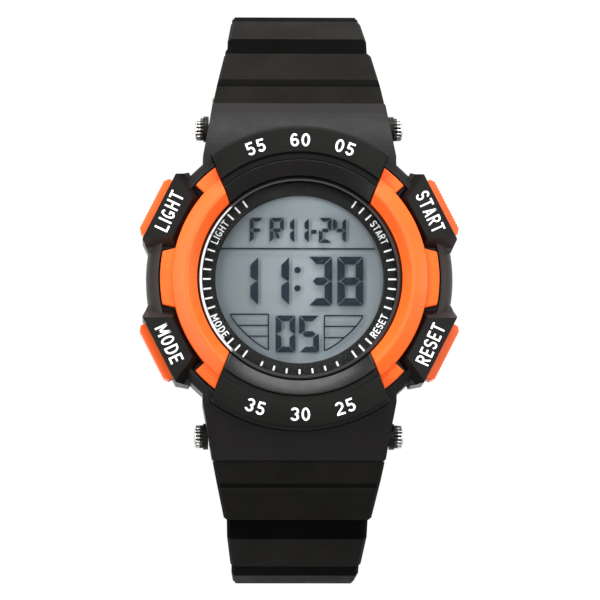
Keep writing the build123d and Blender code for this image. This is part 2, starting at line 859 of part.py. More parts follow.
def strap_section(angle, width, outer, inner):
    half = width / 2
    shoulder = outer - section_bevel
    points = [(-half, -inner), (-half, -shoulder), (section_bevel - half, -outer),
              (half - section_bevel, -outer), (half, -shoulder), (half, -inner)]
    return strap_plane(angle) * make_face(Polyline(*points, close=True))


def strap_point(angle, radius):
    turn = radians(angle)
    return band_centre_y + radius * sin(turn), band_centre_z + radius * cos(turn)


# Three overlapping scales, each rising to a crease and stepping down at its end
def armour():
    deep = band_inner - armour_step
    low = armour_crest - armour_step
    body = None
    start = armour_start_angle
    for i in range(3):
        crease, end = armour_angles[2 * i], armour_angles[2 * i + 1]
        w0, w1, w2 = [2 * hood_end_half * share for share in armour_width_shares[3 * i:3 * i + 3]]
        scale = loft([strap_section(start, w0, low, deep), strap_section(crease, w1, armour_crest, deep),
                      strap_section(end, w2, armour_crest, deep)], ruled=True)
        body = scale if body is None else body + scale
        start = end
    core = cross_rod(band_inner, -far, far, band_centre_y, band_centre_z)
    return body - core


# Knuckle round the lug pin, neck, and the armour trimmed back from the hood
def strap_root():
    width = ear_gap_half - knuckle_side_gap
    gap_face = hood_end + strap_gap
    lean = tan(radians(swing_angle))
    trim_top = rim_height + over
    trim = side_prism([(0, lug_foot - far), (gap_face, lug_foot - far), (gap_face, pin_height),
                       (gap_face + (trim_top - pin_height) * lean, trim_top), (0, trim_top)], -far, far)
    scales = armour() - trim
    knuckle = cross_rod(knuckle_radius, -width, width, pin_place, pin_height)
    neck_top = pin_height - neck_top_drop
    root_z = pin_height - neck_bottom
    neck = slab(-width, width, pin_place, gap_face + knuckle_radius / 2, root_z, neck_top)
    neck &= cross_rod(band_outer, -far, far, band_centre_y, band_centre_z)
    core = cross_rod(band_inner, -far, far, band_centre_y, band_centre_z)
    neck -= core & slab(-far, far, gap_face, far, -far, far)
    body = scales + knuckle + neck
    bore = cross_rod(pin_radius + strap_bore_clearance, -far, far, pin_place, pin_height)
    return body - bore


def strap_arc(start, end):
    face = strap_section(start, 2 * band_half, band_outer, band_inner)
    turn_axis = Axis((0, band_centre_y, band_centre_z), (-1, 0, 0))
    return revolve(face, turn_axis, end - start)


def strap_lower():
    start = armour_angles[-1]
    body = strap_root() + strap_arc(start, tail_angle)
    tail = extrude(strap_section(tail_angle, 2 * band_half, band_outer, band_inner), tail_length)
    low = band_centre_z - band_outer
    tip_y = band_centre_y - tail_length
    plan = fillet((Pos(0, tip_y + tail_length / 2) * Rectangle(2 * band_half, tail_length)).vertices()
                  .sort_by(Axis.Y)[:2], tail_corner)
    tail &= Pos(0, 0, low - over) * extrude(plan, band_outer)
    body += tail
    holes = []
    arc_pitch = degrees(hole_pitch / band_middle)
    count = int((tail_angle - hole_start_angle) / arc_pitch) + 1
    for i in range(count):
        y, z = strap_point(hole_start_angle + i * arc_pitch, band_middle)
        drill = Rot(-hole_start_angle - i * arc_pitch, 0, 0) * Cylinder(hole_radius, 2 * hole_pitch)
        holes.append(Pos(0, y, z) * drill)
    spent = radians(hole_start_angle + count * arc_pitch - tail_angle) * band_middle
    while spent < tail_length - hole_margin:
        holes.append(Pos(0, band_centre_y - spent, low) * Cylinder(hole_radius, 2 * hole_pitch))
        spent += hole_pitch
    return turned_about(body - holes)


# Frame at the end of the strap's curve: X across, Y inwards, Z along the straight run
def run_plane():
    y, z = strap_point(run_angle, band_middle)
    along = (0, cos(radians(run_angle)), -sin(radians(run_angle)))
    return Plane(origin=(0, y, z), x_dir=(1, 0, 0), z_dir=along)


buckle_y = strap_point(run_angle, band_middle)[0] + (run_length + loop_gap) * cos(radians(run_angle))
buckle_z = strap_point(run_angle, band_middle)[1] - (run_length + loop_gap) * sin(radians(run_angle))


def strap_upper():
    body = strap_root() + strap_arc(armour_angles[-1], run_angle)
    body += extrude(strap_section(run_angle, 2 * band_half, band_outer, band_inner), run_length + loop_gap)
    body += cross_rod(loop_radius, -band_half, band_half, buckle_y, buckle_z)
    body -= cross_rod(buckle_pin_radius + strap_bore_clearance, -far, far, buckle_y, buckle_z)
    deep = loop_radius + loop_gap
    slot = slab(-tongue_slot_half, tongue_slot_half, buckle_y - deep, buckle_y + deep,
                buckle_z - deep, buckle_z + deep)
    return body - slot


def buckle_frame():
    low = buckle_z - buckle_bar_end
    high = buckle_z + buckle_top
    front = buckle_y + buckle_thickness / 2
    body = slab(-buckle_arm_outer, buckle_arm_outer, front - buckle_thickness, front, low, high)
    corners = body.edges().filter_by(Axis.Y).group_by(Axis.Z)[0]
    body = fillet(corners, buckle_corner)
    body -= slab(-buckle_arm_inner, buckle_arm_inner, front - far, front + far, low + buckle_bar_width,
                 high + over)
    rim = body.faces().sort_by(Axis.Y)
    body = chamfer(rim[0].outer_wire().edges() + rim[-1].outer_wire().edges(), buckle_edge)
    return body - cross_rod(buckle_pin_radius + pin_clearance, -far, far, buckle_y, buckle_z)


def buckle_pin():
    end = buckle_arm_outer - pin_end_inset
    return cross_rod(buckle_pin_radius, -end, end, buckle_y, buckle_z)


def buckle_tongue():
    rest = buckle_thickness / 2 + tongue_gap
    bar_top = tongue_thickness - buckle_reach
    points = [(-tongue_thickness / 2, 0), (tongue_thickness / 2, 0), (rest + tongue_thickness, bar_top),
              (rest + tongue_thickness, -tongue_length), (rest, -tongue_length), (rest, bar_top)]
    placed = [(buckle_y + y, buckle_z + z) for y, z in points]
    body = side_prism(placed, -tongue_half, tongue_half)
    body += cross_rod(tongue_eye, -tongue_half, tongue_half, buckle_y, buckle_z)
    return body - cross_rod(buckle_pin_radius + strap_bore_clearance, -far, far, buckle_y, buckle_z)


def strap_keeper():
    half = band_half + keeper_side_gap
    thick = (band_outer - band_inner) / 2
    under = thick + keeper_under_gap
    above = thick + keeper_over_gap
    middle = (under - above) / 2
    hole = Pos(0, middle) * Rectangle(2 * half, under + above)
    outline = Pos(0, middle) * RectangleRounded(2 * (half + keeper_wall), under + above + 2 * keeper_wall,
                                                keeper_corner)
    loop = extrude(outline - hole, keeper_width)
    return run_plane() * Pos(0, 0, keeper_place) * loop


def build():
    os.makedirs("parts", exist_ok=True)
    save(case_body(), "case_body")
    save(accent_ring(), "accent_ring")
    arch = bezel_arch()
    save(arch, "bezel_arch_upper")
    save(turned_about(arch), "bezel_arch_lower")
    save(lens(), "lens")
    save(ring(lens_radius, gasket_inner, lens_seat, lens_base), "lens_gasket")
    save(dial_ring(), "dial_ring")
    save(case_back(), "case_back")
    save(case_back_gasket(), "case_back_gasket")
    save(case_back_screws(), "case_back_screws")
    save(module_frame(), "module_frame")
    save(battery(), "battery")
    save(battery_clip(), "battery_clip")
    save(module_screws(), "module_screws")
    save(circuit_board(), "circuit_board")
    save(chip_blob(), "chip_blob")
    save(quartz_crystal(), "quartz_crystal")
    save(buzzer_disc(), "buzzer_disc")
    save(buzzer_spring(), "buzzer_spring")
    save(display_holder(), "display_holder")
    save(lcd_panel(), "lcd_panel")
    save(backlight_panel(), "backlight_panel")
    save(zebra_connectors(), "zebra_connectors")
    save(side_contacts(), "side_contacts")
    save(Compound(children=at_buttons(button_tube())), "button_tubes")
    save(Compound(children=at_buttons(button_seal())), "button_seals")
    names = ("light", "mode", "start", "reset")
    pieces = (("cap", button_cap()), ("stem", button_stem()), ("clip", button_clip()), ("spring", button_spring()))
    for piece_name, piece in pieces:
        for name, placed in zip(names, at_buttons(piece)):
            save(placed, f"{name}_{piece_name}")
    save(lug_pins(), "lug_pins")
    save(pin_bushes(), "pin_bushes")
    save(pin_knobs(), "pin_knobs")
    save(strap_upper(), "strap_upper")
    save(strap_lower(), "strap_lower")
    save(buckle_frame(), "buckle_frame")
    save(buckle_pin(), "buckle_pin")
    save(buckle_tongue(), "buckle_tongue")
    save(strap_keeper(), "strap_keeper")
    print("buckle pin at", round(buckle_y, 3), round(buckle_z, 3))
    print("floor at", band_centre_z - band_outer)


build()
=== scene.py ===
# %% [markdown]
# # A digital sports watch
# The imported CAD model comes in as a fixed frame: it says where every piece is and what moves.
# Blender adds what the eye meets first: rounded moulded edges, printed marks, a grey display,
# satin resin and soft studio light.

# %% Load the frame
import json
import bmesh
import bpy
import numpy as np
from mathutils import Matrix, Vector

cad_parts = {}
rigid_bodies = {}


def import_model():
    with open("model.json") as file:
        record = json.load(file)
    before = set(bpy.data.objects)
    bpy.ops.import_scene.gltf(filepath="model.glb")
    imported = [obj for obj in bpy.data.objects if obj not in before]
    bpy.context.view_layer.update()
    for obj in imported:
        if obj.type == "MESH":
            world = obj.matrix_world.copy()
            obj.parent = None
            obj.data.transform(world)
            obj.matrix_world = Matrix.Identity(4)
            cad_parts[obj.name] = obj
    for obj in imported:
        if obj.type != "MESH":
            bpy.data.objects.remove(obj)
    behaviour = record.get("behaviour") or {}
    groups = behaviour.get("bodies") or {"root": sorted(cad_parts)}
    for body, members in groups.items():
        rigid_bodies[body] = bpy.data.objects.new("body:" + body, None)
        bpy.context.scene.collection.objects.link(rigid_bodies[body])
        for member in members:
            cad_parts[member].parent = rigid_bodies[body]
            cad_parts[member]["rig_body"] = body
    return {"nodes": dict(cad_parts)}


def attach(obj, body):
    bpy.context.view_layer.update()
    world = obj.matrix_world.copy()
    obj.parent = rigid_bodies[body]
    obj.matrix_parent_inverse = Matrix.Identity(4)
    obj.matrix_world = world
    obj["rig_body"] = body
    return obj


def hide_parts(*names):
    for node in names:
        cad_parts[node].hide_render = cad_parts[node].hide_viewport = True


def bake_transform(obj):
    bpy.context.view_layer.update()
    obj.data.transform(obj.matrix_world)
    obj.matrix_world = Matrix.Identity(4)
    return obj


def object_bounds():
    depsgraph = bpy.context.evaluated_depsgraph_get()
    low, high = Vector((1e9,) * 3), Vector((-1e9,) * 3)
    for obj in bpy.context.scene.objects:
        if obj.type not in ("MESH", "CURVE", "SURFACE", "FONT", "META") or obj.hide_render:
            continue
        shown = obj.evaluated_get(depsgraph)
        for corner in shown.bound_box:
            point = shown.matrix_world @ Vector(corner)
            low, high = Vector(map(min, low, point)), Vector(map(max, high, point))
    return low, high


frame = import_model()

nodes = frame["nodes"]
cad_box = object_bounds()
print("pieces in the frame:", len(nodes))

# %% [markdown]
# Sizes are easiest to think about in millimetres, while Blender works in metres. So every
# shape is worked out in millimetres as numpy arrays, and one function turns them into a mesh.
# Several closed shells can share one mesh. Each shell's volume is measured with its sign,
# because a negative volume means that its faces point inwards and must be turned.

# %% One way to make a mesh
MM = 0.001


def linked(name, data):
    """A new object in the scene."""
    item = bpy.data.objects.new(name, data)
    bpy.context.scene.collection.objects.link(item)
    return item


def signed_volume(points, faces):
    """Six times the volume: the sum over fans of triangles of a . (b x c)."""
    total = 0.0
    for face in faces:
        corners = points[np.asarray(face)]
        total += np.einsum("ij,ij->i", np.broadcast_to(corners[0], corners[1:-1].shape),
                           np.cross(corners[1:-1], corners[2:])).sum()
    return total


def make_piece(name, shells, material, body="case", sharp=35):
    """Joins closed shells of (points, faces), turns each one outwards and rides it on a body."""
    points, faces, first = [], [], 0
    for shell_points, shell_faces in shells:
        turn = -1 if signed_volume(shell_points, shell_faces) < 0 else 1
        points.append(shell_points)
        faces += [[first + i for i in face[::turn]] for face in shell_faces]
        first += len(shell_points)
    mesh = bpy.data.meshes.new(name)
    mesh.from_pydata(np.concatenate(points) * MM, [], faces)
    mesh.validate()
    mesh.shade_smooth()
    mesh.set_sharp_from_angle(angle=np.radians(sharp))
    mesh.materials.append(material)
    piece = linked(name, mesh)
    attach(piece, body)
    print(name, "has", len(mesh.polygons), "faces")
    return piece


# %% [markdown]
# Some pieces carry a second finish on part of their faces; on the strap, the knobs and the
# bumpers that second material is painted shade and painted light. The faces are picked by where the faces' middles
# lie. The middles are read as one array, and a mask of true and false says which faces change.

# %% A second finish, painted shade and painted light on some faces
def face_middles(piece):
    """The middle of every face of a piece, in mm."""
    middles = np.empty(len(piece.data.polygons) * 3)
    piece.data.polygons.foreach_get("center", middles)
    return middles.reshape(-1, 3) / MM


def second_finish_or_painted_light(piece, material, picked):
    """Adds a material to a piece and gives it to the picked faces."""
    piece.data.materials.append(material)
    index = np.empty(len(piece.data.polygons), np.int32)
    piece.data.polygons.foreach_get("material_index", index)
    index[picked] = len(piece.data.materials) - 1
    piece.data.polygons.foreach_set("material_index", index)
    print(piece.name, "has", int(np.sum(picked)), "faces of", material.name)


# %% [markdown]
# Most shapes here are grids of points: rows run along the piece and columns run round its
# section. A grid becomes four-sided faces by joining each point to its neighbours. A turned
# piece is such a grid too: its section goes once round the axis.

# %% Grids and rounded profiles
def polar(radius, turn):
    """The place in plan x = radius cos turn, y = radius sin turn."""
    return np.stack([radius * np.cos(turn), radius * np.sin(turn)], -1)


def tube_shell(grid, closed_loop=False):
    """Quads between rows i and i + 1, columns j and j + 1. The columns wrap round a section, and
    the rows go round too in a closed loop. Else each open end gets one flat cap."""
    rows, columns = grid.shape[:2]
    r, c = np.arange(rows if closed_loop else rows - 1)[:, None], np.arange(columns)
    r1, c1 = (r + 1) % rows, (c + 1) % columns
    quads = np.stack([r * columns + c, r * columns + c1, r1 * columns + c1, r1 * columns + c], -1)
    faces = quads.reshape(-1, 4).tolist()
    if not closed_loop:
        faces += [list(range(columns))[::-1], list(range((rows - 1) * columns, rows * columns))]
    return grid.reshape(-1, 3), faces


def revolved(section, steps):
    """A closed section of (radius, height) goes once round the axis."""
    turns = np.linspace(0, 2 * np.pi, steps, endpoint=False)[:, None]
    height = np.broadcast_to(section[:, 1], (steps, len(section)))
    return tube_shell(np.dstack([polar(section[:, 0], turns), height]), True)


def rounded(corners, radii, steps=5):
    """A polygon with an arc at each corner. The arc's centre is on the corner's bisector, at
    radius / sin(half angle), and its points turn evenly from one side's normal to the other's."""
    p = np.asarray(corners, float)
    back, ahead = np.roll(p, 1, 0) - p, np.roll(p, -1, 0) - p
    lb, la = np.linalg.norm(back, axis=1), np.linalg.norm(ahead, axis=1)
    a, b = back / lb[:, None], ahead / la[:, None]
    half = np.arccos(np.clip((a * b).sum(1), -1, 1)) / 2
    reach = np.minimum(radii / np.tan(half), 0.48 * np.minimum(lb, la))
    radius = reach * np.tan(half)
    bisector = a + b
    bisector /= np.linalg.norm(bisector, axis=1)[:, None]
    centre = p + bisector * (radius / np.sin(half))[:, None]
    start, end = p + a * reach[:, None] - centre, p + b * reach[:, None] - centre
    turn = np.arctan2(start[:, 0] * end[:, 1] - start[:, 1] * end[:, 0], (start * end).sum(1))
    t = turn[:, None] * np.linspace(0, 1, steps)[None, :]
    x = start[:, :1] * np.cos(t) - start[:, 1:] * np.sin(t)
    y = start[:, :1] * np.sin(t) + start[:, 1:] * np.cos(t)
    return (centre[:, None, :] + np.stack([x, y], -1)).reshape(-1, 2)


def profile_normals(profile):
    """Outward normals of a closed profile: the direction across the line between both neighbours."""
    along = np.roll(profile, -1, 0) - np.roll(profile, 1, 0)
    normal = np.stack([along[:, 1], -along[:, 0]], 1)
    normal /= np.maximum(np.linalg.norm(normal, axis=1), 1e-9)[:, None]
    area = (profile[:, 0] * np.roll(profile[:, 1], -1) - profile[:, 1] * np.roll(profile[:, 0], -1)).sum()
    return normal if area > 0 else -normal


# %% [markdown]
# ## The camera
# The photograph looks almost straight down on the dial, from a little towards six o'clock and a
# touch to the left. A long lens from 0.7 m keeps the strap's taper as mild as it is there.

# %% Camera
CAMERA_DISTANCE, VIEW_WIDTH, SENSOR_WIDTH = 0.7, 0.08, 36
PITCH, YAW = np.radians(4.9), np.radians(1.5)
TARGET = Vector((0, -0.003, 0.0115))
look = Vector((np.sin(YAW) * np.cos(PITCH), np.sin(PITCH), -np.cos(YAW) * np.cos(PITCH)))
camera = linked("camera", bpy.data.cameras.new("camera"))
camera.location = TARGET - look * CAMERA_DISTANCE
across = look.cross(Vector((0, 1, 0))).normalized()
camera.rotation_euler = Matrix((across, across.cross(look), -look)).transposed().to_euler()
camera.data.sensor_width = SENSOR_WIDTH
camera.data.lens = SENSOR_WIDTH * CAMERA_DISTANCE / VIEW_WIDTH
camera.data.clip_start = 0.01
bpy.context.scene.camera = camera
print("camera at", [round(v, 4) for v in camera.location])

# %% [markdown]
# ## Studio
# Dark resin shows its shape only by what it mirrors, so the light matters more than the colour.
# One large soft box stands beyond twelve o'clock and lights the upper hood. A second hangs nearly
# overhead and fills the rest, and a weak one stands low on the right and lights that flank. Five
# small ones stand in an arc on the left, 45 degrees up, where the window's bevel mirrors them as
# one bright line.

# %% Lights
def soft_box(name, place, aim, size, size_y, watts):
    """A rectangular area light at a place in millimetres, turned to face another."""
    light = bpy.data.lights.new(name, "AREA")
    light.shape = "RECTANGLE"
    light.size, light.size_y, light.energy = size * MM, size_y * MM, watts
    lamp = linked(name, light)
    lamp.location = Vector(place) * MM
    lamp.rotation_euler = (Vector(aim) * MM - lamp.location).to_track_quat("-Z", "Y").to_euler()


CASE_MIDDLE, WINDOW_MIDDLE = (0, 0, 5), (0, 0, 11)
ARC_REACH, ARC_HEIGHT = 440, 450
soft_box("key_box", (40, 540, 285), CASE_MIDDLE, 620, 210, 6.1)
soft_box("fill_box", (170, 120, 640), CASE_MIDDLE, 260, 260, 2.15)
soft_box("side_box", (470, 20, 200), CASE_MIDDLE, 220, 130, 0.95)
for number, azimuth in enumerate(np.radians((137, 156, 175, 194, 213))):
    soft_box(f"arc_box_{number}", (*polar(ARC_REACH, azimuth), ARC_HEIGHT), WINDOW_MIDDLE, 148, 95, 0.72)
print("lamps:", len(bpy.data.lights))

# %% [markdown]
# The room and every material are small networks of nodes. One helper adds a node and connects it
# in the same line. The room is plain and pale: it gives a weak, cool light of its own, and shows
# as plain white to the camera and in whatever mirrors it or lets it through.

# %% One way to wire nodes, and the room
def connect(node, *values, **inputs):
    """Sets or links a node's inputs, in order or by name with _ for a space. Gives its outputs."""
    for key, value in [*enumerate(values), *inputs.items()]:
        socket = node.inputs[key.replace("_", " ") if isinstance(key, str) else key]
        if isinstance(value, bpy.types.NodeSocket):
            node.id_data.links.new(value, socket)
        else:
            socket.default_value = value
    return node.outputs


def wire(tree, kind, *values, **inputs):
    """Adds a node of a kind, such as "Math ADD", and connects it."""
    kind, _, operation = kind.partition(" ")
    node = tree.nodes.new("ShaderNode" + kind)
    if operation:
        node.operation = operation
    return connect(node, *values, **inputs)


world = bpy.data.worlds.new("studio")
bpy.context.scene.world = world
world.use_nodes = True
sky = world.node_tree
sky.nodes.clear()
rays = wire(sky, "LightPath")
seen = wire(sky, "Math ADD", rays["Is Camera Ray"], rays["Is Glossy Ray"])[0]
seen = wire(sky, "Math ADD", seen, rays["Is Transmission Ray"])[0]
seen.node.use_clamp = True
room = wire(sky, "Background", Color=(0.95, 0.97, 1.0, 1), Strength=0.42)[0]
white = wire(sky, "Background", Color=(1, 1, 1, 1), Strength=1.0)[0]
wire(sky, "OutputWorld", Surface=wire(sky, "MixShader", seen, room, white)[0])
bpy.context.scene.view_settings.view_transform = "Standard"
print("nodes in the room:", len(sky.nodes))

# %% [markdown]
# The watch stands on its closed strap, so the floor lies just under the strap's lowest point. The
# camera sees the floor nearly white, with a trace of the watch's own soft shadow left in it.

# %% Floor
FLOOR_REACH, FLOOR_GAP, FLOOR_GLOW = 4, 0.00002, 0.96


def new_material(name):
    """A material with its node tree and its main shader."""
    material = bpy.data.materials.new(name)
    material.use_nodes = True
    return material, material.node_tree, material.node_tree.nodes["Principled BSDF"]


floor_z = cad_box[0][2] - FLOOR_GAP
floor_mesh = bpy.data.meshes.new("floor")
floor_corners = [(x * FLOOR_REACH, y * FLOOR_REACH, floor_z) for x, y in ((-1, -1), (1, -1), (1, 1), (-1, 1))]
floor_mesh.from_pydata(floor_corners, [], [(0, 1, 2, 3)])
floor = linked("floor", floor_mesh)
paper, tree, sheet = new_material("pale_paper")
matt = connect(sheet, Base_Color=(0.86, 0.86, 0.86, 1), Roughness=0.9, Specular_IOR_Level=0.1)[0]
bright = wire(tree, "Emission", Strength=1.0)[0]
share = wire(tree, "Math MULTIPLY", wire(tree, "LightPath")["Is Camera Ray"], FLOOR_GLOW)[0]
connect(tree.nodes["Material Output"], Surface=wire(tree, "MixShader", share, matt, bright)[0])
floor_mesh.materials.append(paper)
print("floor at", round(floor_z / MM, 2), "mm")

# %% [markdown]
# ## Finishes
# No moulding is one flat colour. Each finish starts from the same recipe: a noise pattern in the
# piece's own coordinates shifts the colour a little, another shifts the roughness, and a fine
# one becomes a bump, as a sand-blasted mould leaves its grain on resin.

# %% A recipe for a finish
CLOUD_SCALE, WEAR_SCALE = 220, 700


def finish(name, colour, roughness, spread=0.12, rough_spread=0.08, grain=2600, bump=0.05,
           metallic=0.0, specular=0.5, stretch=(1, 1, 1)):
    """Noise between two tones of the colour, noise in the roughness and a fine grain as bump."""
    material, tree, shader = new_material(name)
    laid = wire(tree, "Mapping", Vector=wire(tree, "TexCoord")["Object"], Scale=stretch)[0]
    cloud = wire(tree, "TexNoise", Vector=laid, Scale=CLOUD_SCALE, Detail=3)["Fac"]
    tones = wire(tree, "ValToRGB", Fac=cloud)[0]
    low = [c * (1 - spread) for c in colour]
    high = [min(c * (1 + spread), 1) for c in colour]
    for stop, position, tone in zip(tones.node.color_ramp.elements, (0.35, 0.65), (low, high)):
        stop.position = position
        stop.color = (*tone, 1)
    worn = wire(tree, "TexNoise", Vector=laid, Scale=WEAR_SCALE, Detail=2)["Fac"]
    rough = wire(tree, "MapRange", Value=worn, To_Min=roughness - rough_spread, To_Max=roughness + rough_spread)[0]
    fine = wire(tree, "TexNoise", Vector=laid, Scale=grain, Detail=2)["Fac"]
    raised = wire(tree, "Bump", Strength=bump, Distance=0.0002, Height=fine)[0]
    connect(shader, Base_Color=tones, Roughness=rough, Normal=raised, Metallic=metallic, Specular_IOR_Level=specular)
    return material


# %% [markdown]
# Colours are written as linear light, where black resin sends back less than one part in a
# hundred. The strap is duller than the case. Steep and recessed faces carry painted shade or
# painted light, darker or lighter than the rest, because the lamps here light them in another way than the real
# light does.

# %% The finishes
black_resin = finish("black_resin", (0.0072, 0.0063, 0.006), 0.44, specular=0.105)
arch_resin = finish("arch_resin", (0.0048, 0.0047, 0.0042), 0.42, specular=0.06)
cone_resin = finish("cone_resin", (0.004, 0.0034, 0.003), 0.27, specular=0.15, bump=0.02)
strap_rubber = finish("strap_rubber", (0.0084, 0.0079, 0.0068), 0.6, specular=0.012, bump=0.08, grain=3200)
# Painted shade: the strap's first facets are coloured nearly black for the shade they turn into.
strap_painted_shade = finish("strap_painted_shade", (0.0018, 0.0017, 0.0016), 0.55, specular=0.008, bump=0.02)
# Painted shade: a darker colour for the band of the strap's crease.
strap_crease_painted_shade = finish("strap_crease_painted_shade", (0.0036, 0.0034, 0.003), 0.55, specular=0.008, bump=0.02)
guard_resin = finish("guard_resin", (0.0054, 0.0049, 0.0046), 0.44, specular=0.075)
# Painted light: the bumpers are brighter and warmer, a painted glow from the orange beside them.
bumper_painted_glow = finish("bumper_painted_glow", (0.0195, 0.0148, 0.0132), 0.5, specular=0.14)
orange_resin = finish("orange_resin", (0.8, 0.098, 0.009), 0.42, spread=0.05, specular=0.25)
seal_rubber = finish("seal_rubber", (0.012, 0.012, 0.012), 0.7, specular=0.2)
print_black = finish("dial_black", (0.0058, 0.0062, 0.0058), 0.5, specular=0.05, bump=0.0)
print_white = finish("print_white", (0.86, 0.86, 0.85), 0.5, spread=0.03, grain=5000, bump=0.02)
polished_steel = finish("polished_steel", (0.5, 0.49, 0.47), 0.2, metallic=1.0, spread=0.05, bump=0.02)
satin_steel = finish("satin_steel", (0.36, 0.36, 0.355), 0.3, metallic=1.0, spread=0.06, bump=0.06,
                     stretch=(0.08, 1, 1))
back_steel = finish("back_steel", (0.5, 0.5, 0.5), 0.34, metallic=1.0, spread=0.06, bump=0.05)
white_module = finish("white_module", (0.7, 0.7, 0.67), 0.5, spread=0.04)
board_green = finish("board_green", (0.03, 0.16, 0.06), 0.4, spread=0.2)
epoxy = finish("epoxy", (0.01, 0.01, 0.01), 0.15)
brass = finish("brass", (0.72, 0.52, 0.2), 0.28, metallic=1.0)
battery_steel = finish("battery_steel", (0.6, 0.6, 0.6), 0.25, metallic=1.0)
backlight_film = finish("backlight_film", (0.62, 0.72, 0.62), 0.4, spread=0.04)
print("finishes:", len(bpy.data.materials))

# %% [markdown]
# Every CAD piece gets one of these finishes, hidden ones too, because the case back can come
# off. The names are the frame's own, so a wrong one stops the script, and the last line names
# any piece that is left out.

# %% Finishes for the frame's pieces
BUTTONS = ("light", "mode", "start", "reset")
dressed = {
    black_resin: ["case_body", "pin_bushes", "bezel_arch_upper", "bezel_arch_lower"],
    orange_resin: ["accent_ring"],
    strap_rubber: ["strap_upper", "strap_lower", "strap_keeper"],
    seal_rubber: ["lens_gasket", "case_back_gasket", "button_seals", "zebra_connectors"],
    print_black: ["dial_ring"],
    back_steel: ["case_back"],
    polished_steel: ["pin_knobs", "lug_pins", "buckle_pin", "case_back_screws", "module_screws", "battery_clip",
                     "side_contacts", "button_tubes", "buzzer_spring"],
    satin_steel: ["buckle_frame", "buckle_tongue"],
    white_module: ["module_frame", "display_holder"],
    backlight_film: ["backlight_panel", "lcd_panel"],
    board_green: ["circuit_board"],
    epoxy: ["chip_blob"],
    battery_steel: ["battery", "quartz_crystal"],
    brass: ["buzzer_disc"],
}
for button in BUTTONS:
    dressed[orange_resin].append(f"{button}_cap")
    dressed[polished_steel] += [f"{button}_stem", f"{button}_clip", f"{button}_spring"]
for material, names in dressed.items():
    for name in names:
        nodes[name].data.materials.clear()
        nodes[name].data.materials.append(material)
undressed = sorted(set(nodes) - {n for names in dressed.values() for n in names} - {"lens"})
print("pieces with a finish:", len(nodes) - len(undressed) - 1, "left:", undressed)

# %% [markdown]
# The lens and the display's glass are clear. Their flat faces must let the display through, so
# they bend light only a little, and light that merely passes on its way to the dial isn't bent
# at all: that keeps the dial evenly lit and free of speckles.

# %% Clear finish
def clear_finish(name, tint, ior):
    """A transmitting shader that shadow rays and soft light pass straight through."""
    material, tree, shader = new_material(name)
    smear = wire(tree, "TexNoise", Vector=wire(tree, "TexCoord")["Object"], Scale=300)["Fac"]
    rough = wire(tree, "MapRange", Value=smear, To_Min=0.0, To_Max=0.02)[0]
    bending = connect(shader, Base_Color=(*tint, 1), Transmission_Weight=1.0, IOR=ior, Roughness=rough)[0]
    passing = wire(tree, "BsdfTransparent", Color=(*tint, 1))[0]
    rays = wire(tree, "LightPath")
    straight = wire(tree, "Math ADD", rays["Is Shadow Ray"], rays["Is Diffuse Ray"])[0]
    connect(tree.nodes["Material Output"], Surface=wire(tree, "MixShader", straight, bending, passing)[0])
    return material


window_clear = clear_finish("window_clear", (0.985, 0.99, 0.99), 1.1)
nodes["lens"].data.materials.clear()
nodes["lens"].data.materials.append(window_clear)
print("materials now:", len(bpy.data.materials))

# %% [markdown]
# ## Accent ring
# The orange ring is one moulding in two bright crescents, left and right, joined by a low band
# that runs on under the black arches. Its section climbs steeply from the window to a rounded
# crest and falls gently outwards. A section carried round an arc makes it; each end is drawn in
# along a quarter circle, so that it gets the soft edge that a mould leaves.

# %% Arcs with soft ends
EDGE_INNER, EDGE_OUTER = polar(13.72, np.radians(47.09)), polar(20.33, np.radians(54.36))
EDGE_SLOPE = (EDGE_OUTER[0] - EDGE_INNER[0]) / (EDGE_OUTER[1] - EDGE_INNER[1])
RING_GAP = 0.1


def edge_angle(radius, gap=0.0):
    """Where the arch's straight side edge x = a + m y crosses a circle: the root of a quadratic in y."""
    a = EDGE_INNER[0] - EDGE_SLOPE * EDGE_INNER[1] + gap
    m = EDGE_SLOPE
    y = (np.sqrt(radius ** 2 * (1 + m ** 2) - a ** 2) - a * m) / (1 + m ** 2)
    return np.arctan2(y, a + m * y)


def ring_edge(radius):
    """The same edge for the orange ring, a small gap away from the arch."""
    return edge_angle(radius, RING_GAP)


def arc_band(corners, radii, low, high, end_radius=0.18, steps=60, end_steps=5):
    """Carries a rounded section (radius, height) round from angle low(radius) to high(radius).
    At both ends the section shrinks by r (1 - cos a) while it advances by r sin a."""
    section = rounded(corners, radii)
    normal = profile_normals(section)
    a = np.linspace(0, np.pi / 2, end_steps)
    t = np.concatenate([np.zeros(end_steps), np.linspace(0, 1, steps)[1:-1], np.ones(end_steps)])
    bend = np.concatenate([-a[::-1], np.zeros(steps - 2), a])
    inset = (end_radius * (1 - np.cos(bend)))[:, None]
    radius = section[None, :, 0] - normal[None, :, 0] * inset
    height = section[None, :, 1] - normal[None, :, 1] * inset
    start, stop, slack = low(radius), high(radius), end_radius / radius
    turn = start + slack + t[:, None] * (stop - start - 2 * slack) + np.sin(bend)[:, None] * slack
    return tube_shell(np.dstack([polar(radius, turn), height]))


def placed(shell, x, y):
    """The same shell with its signs changed in plan: x and y of -1 turn it half a turn."""
    points, faces = shell
    return points * np.array([x, y, 1]), faces


# %% [markdown]
# The crescent is made once and turned half a turn for the other side. The low band is a small
# rounded rectangle that goes all the way round, and it is what keeps the ring in one piece.

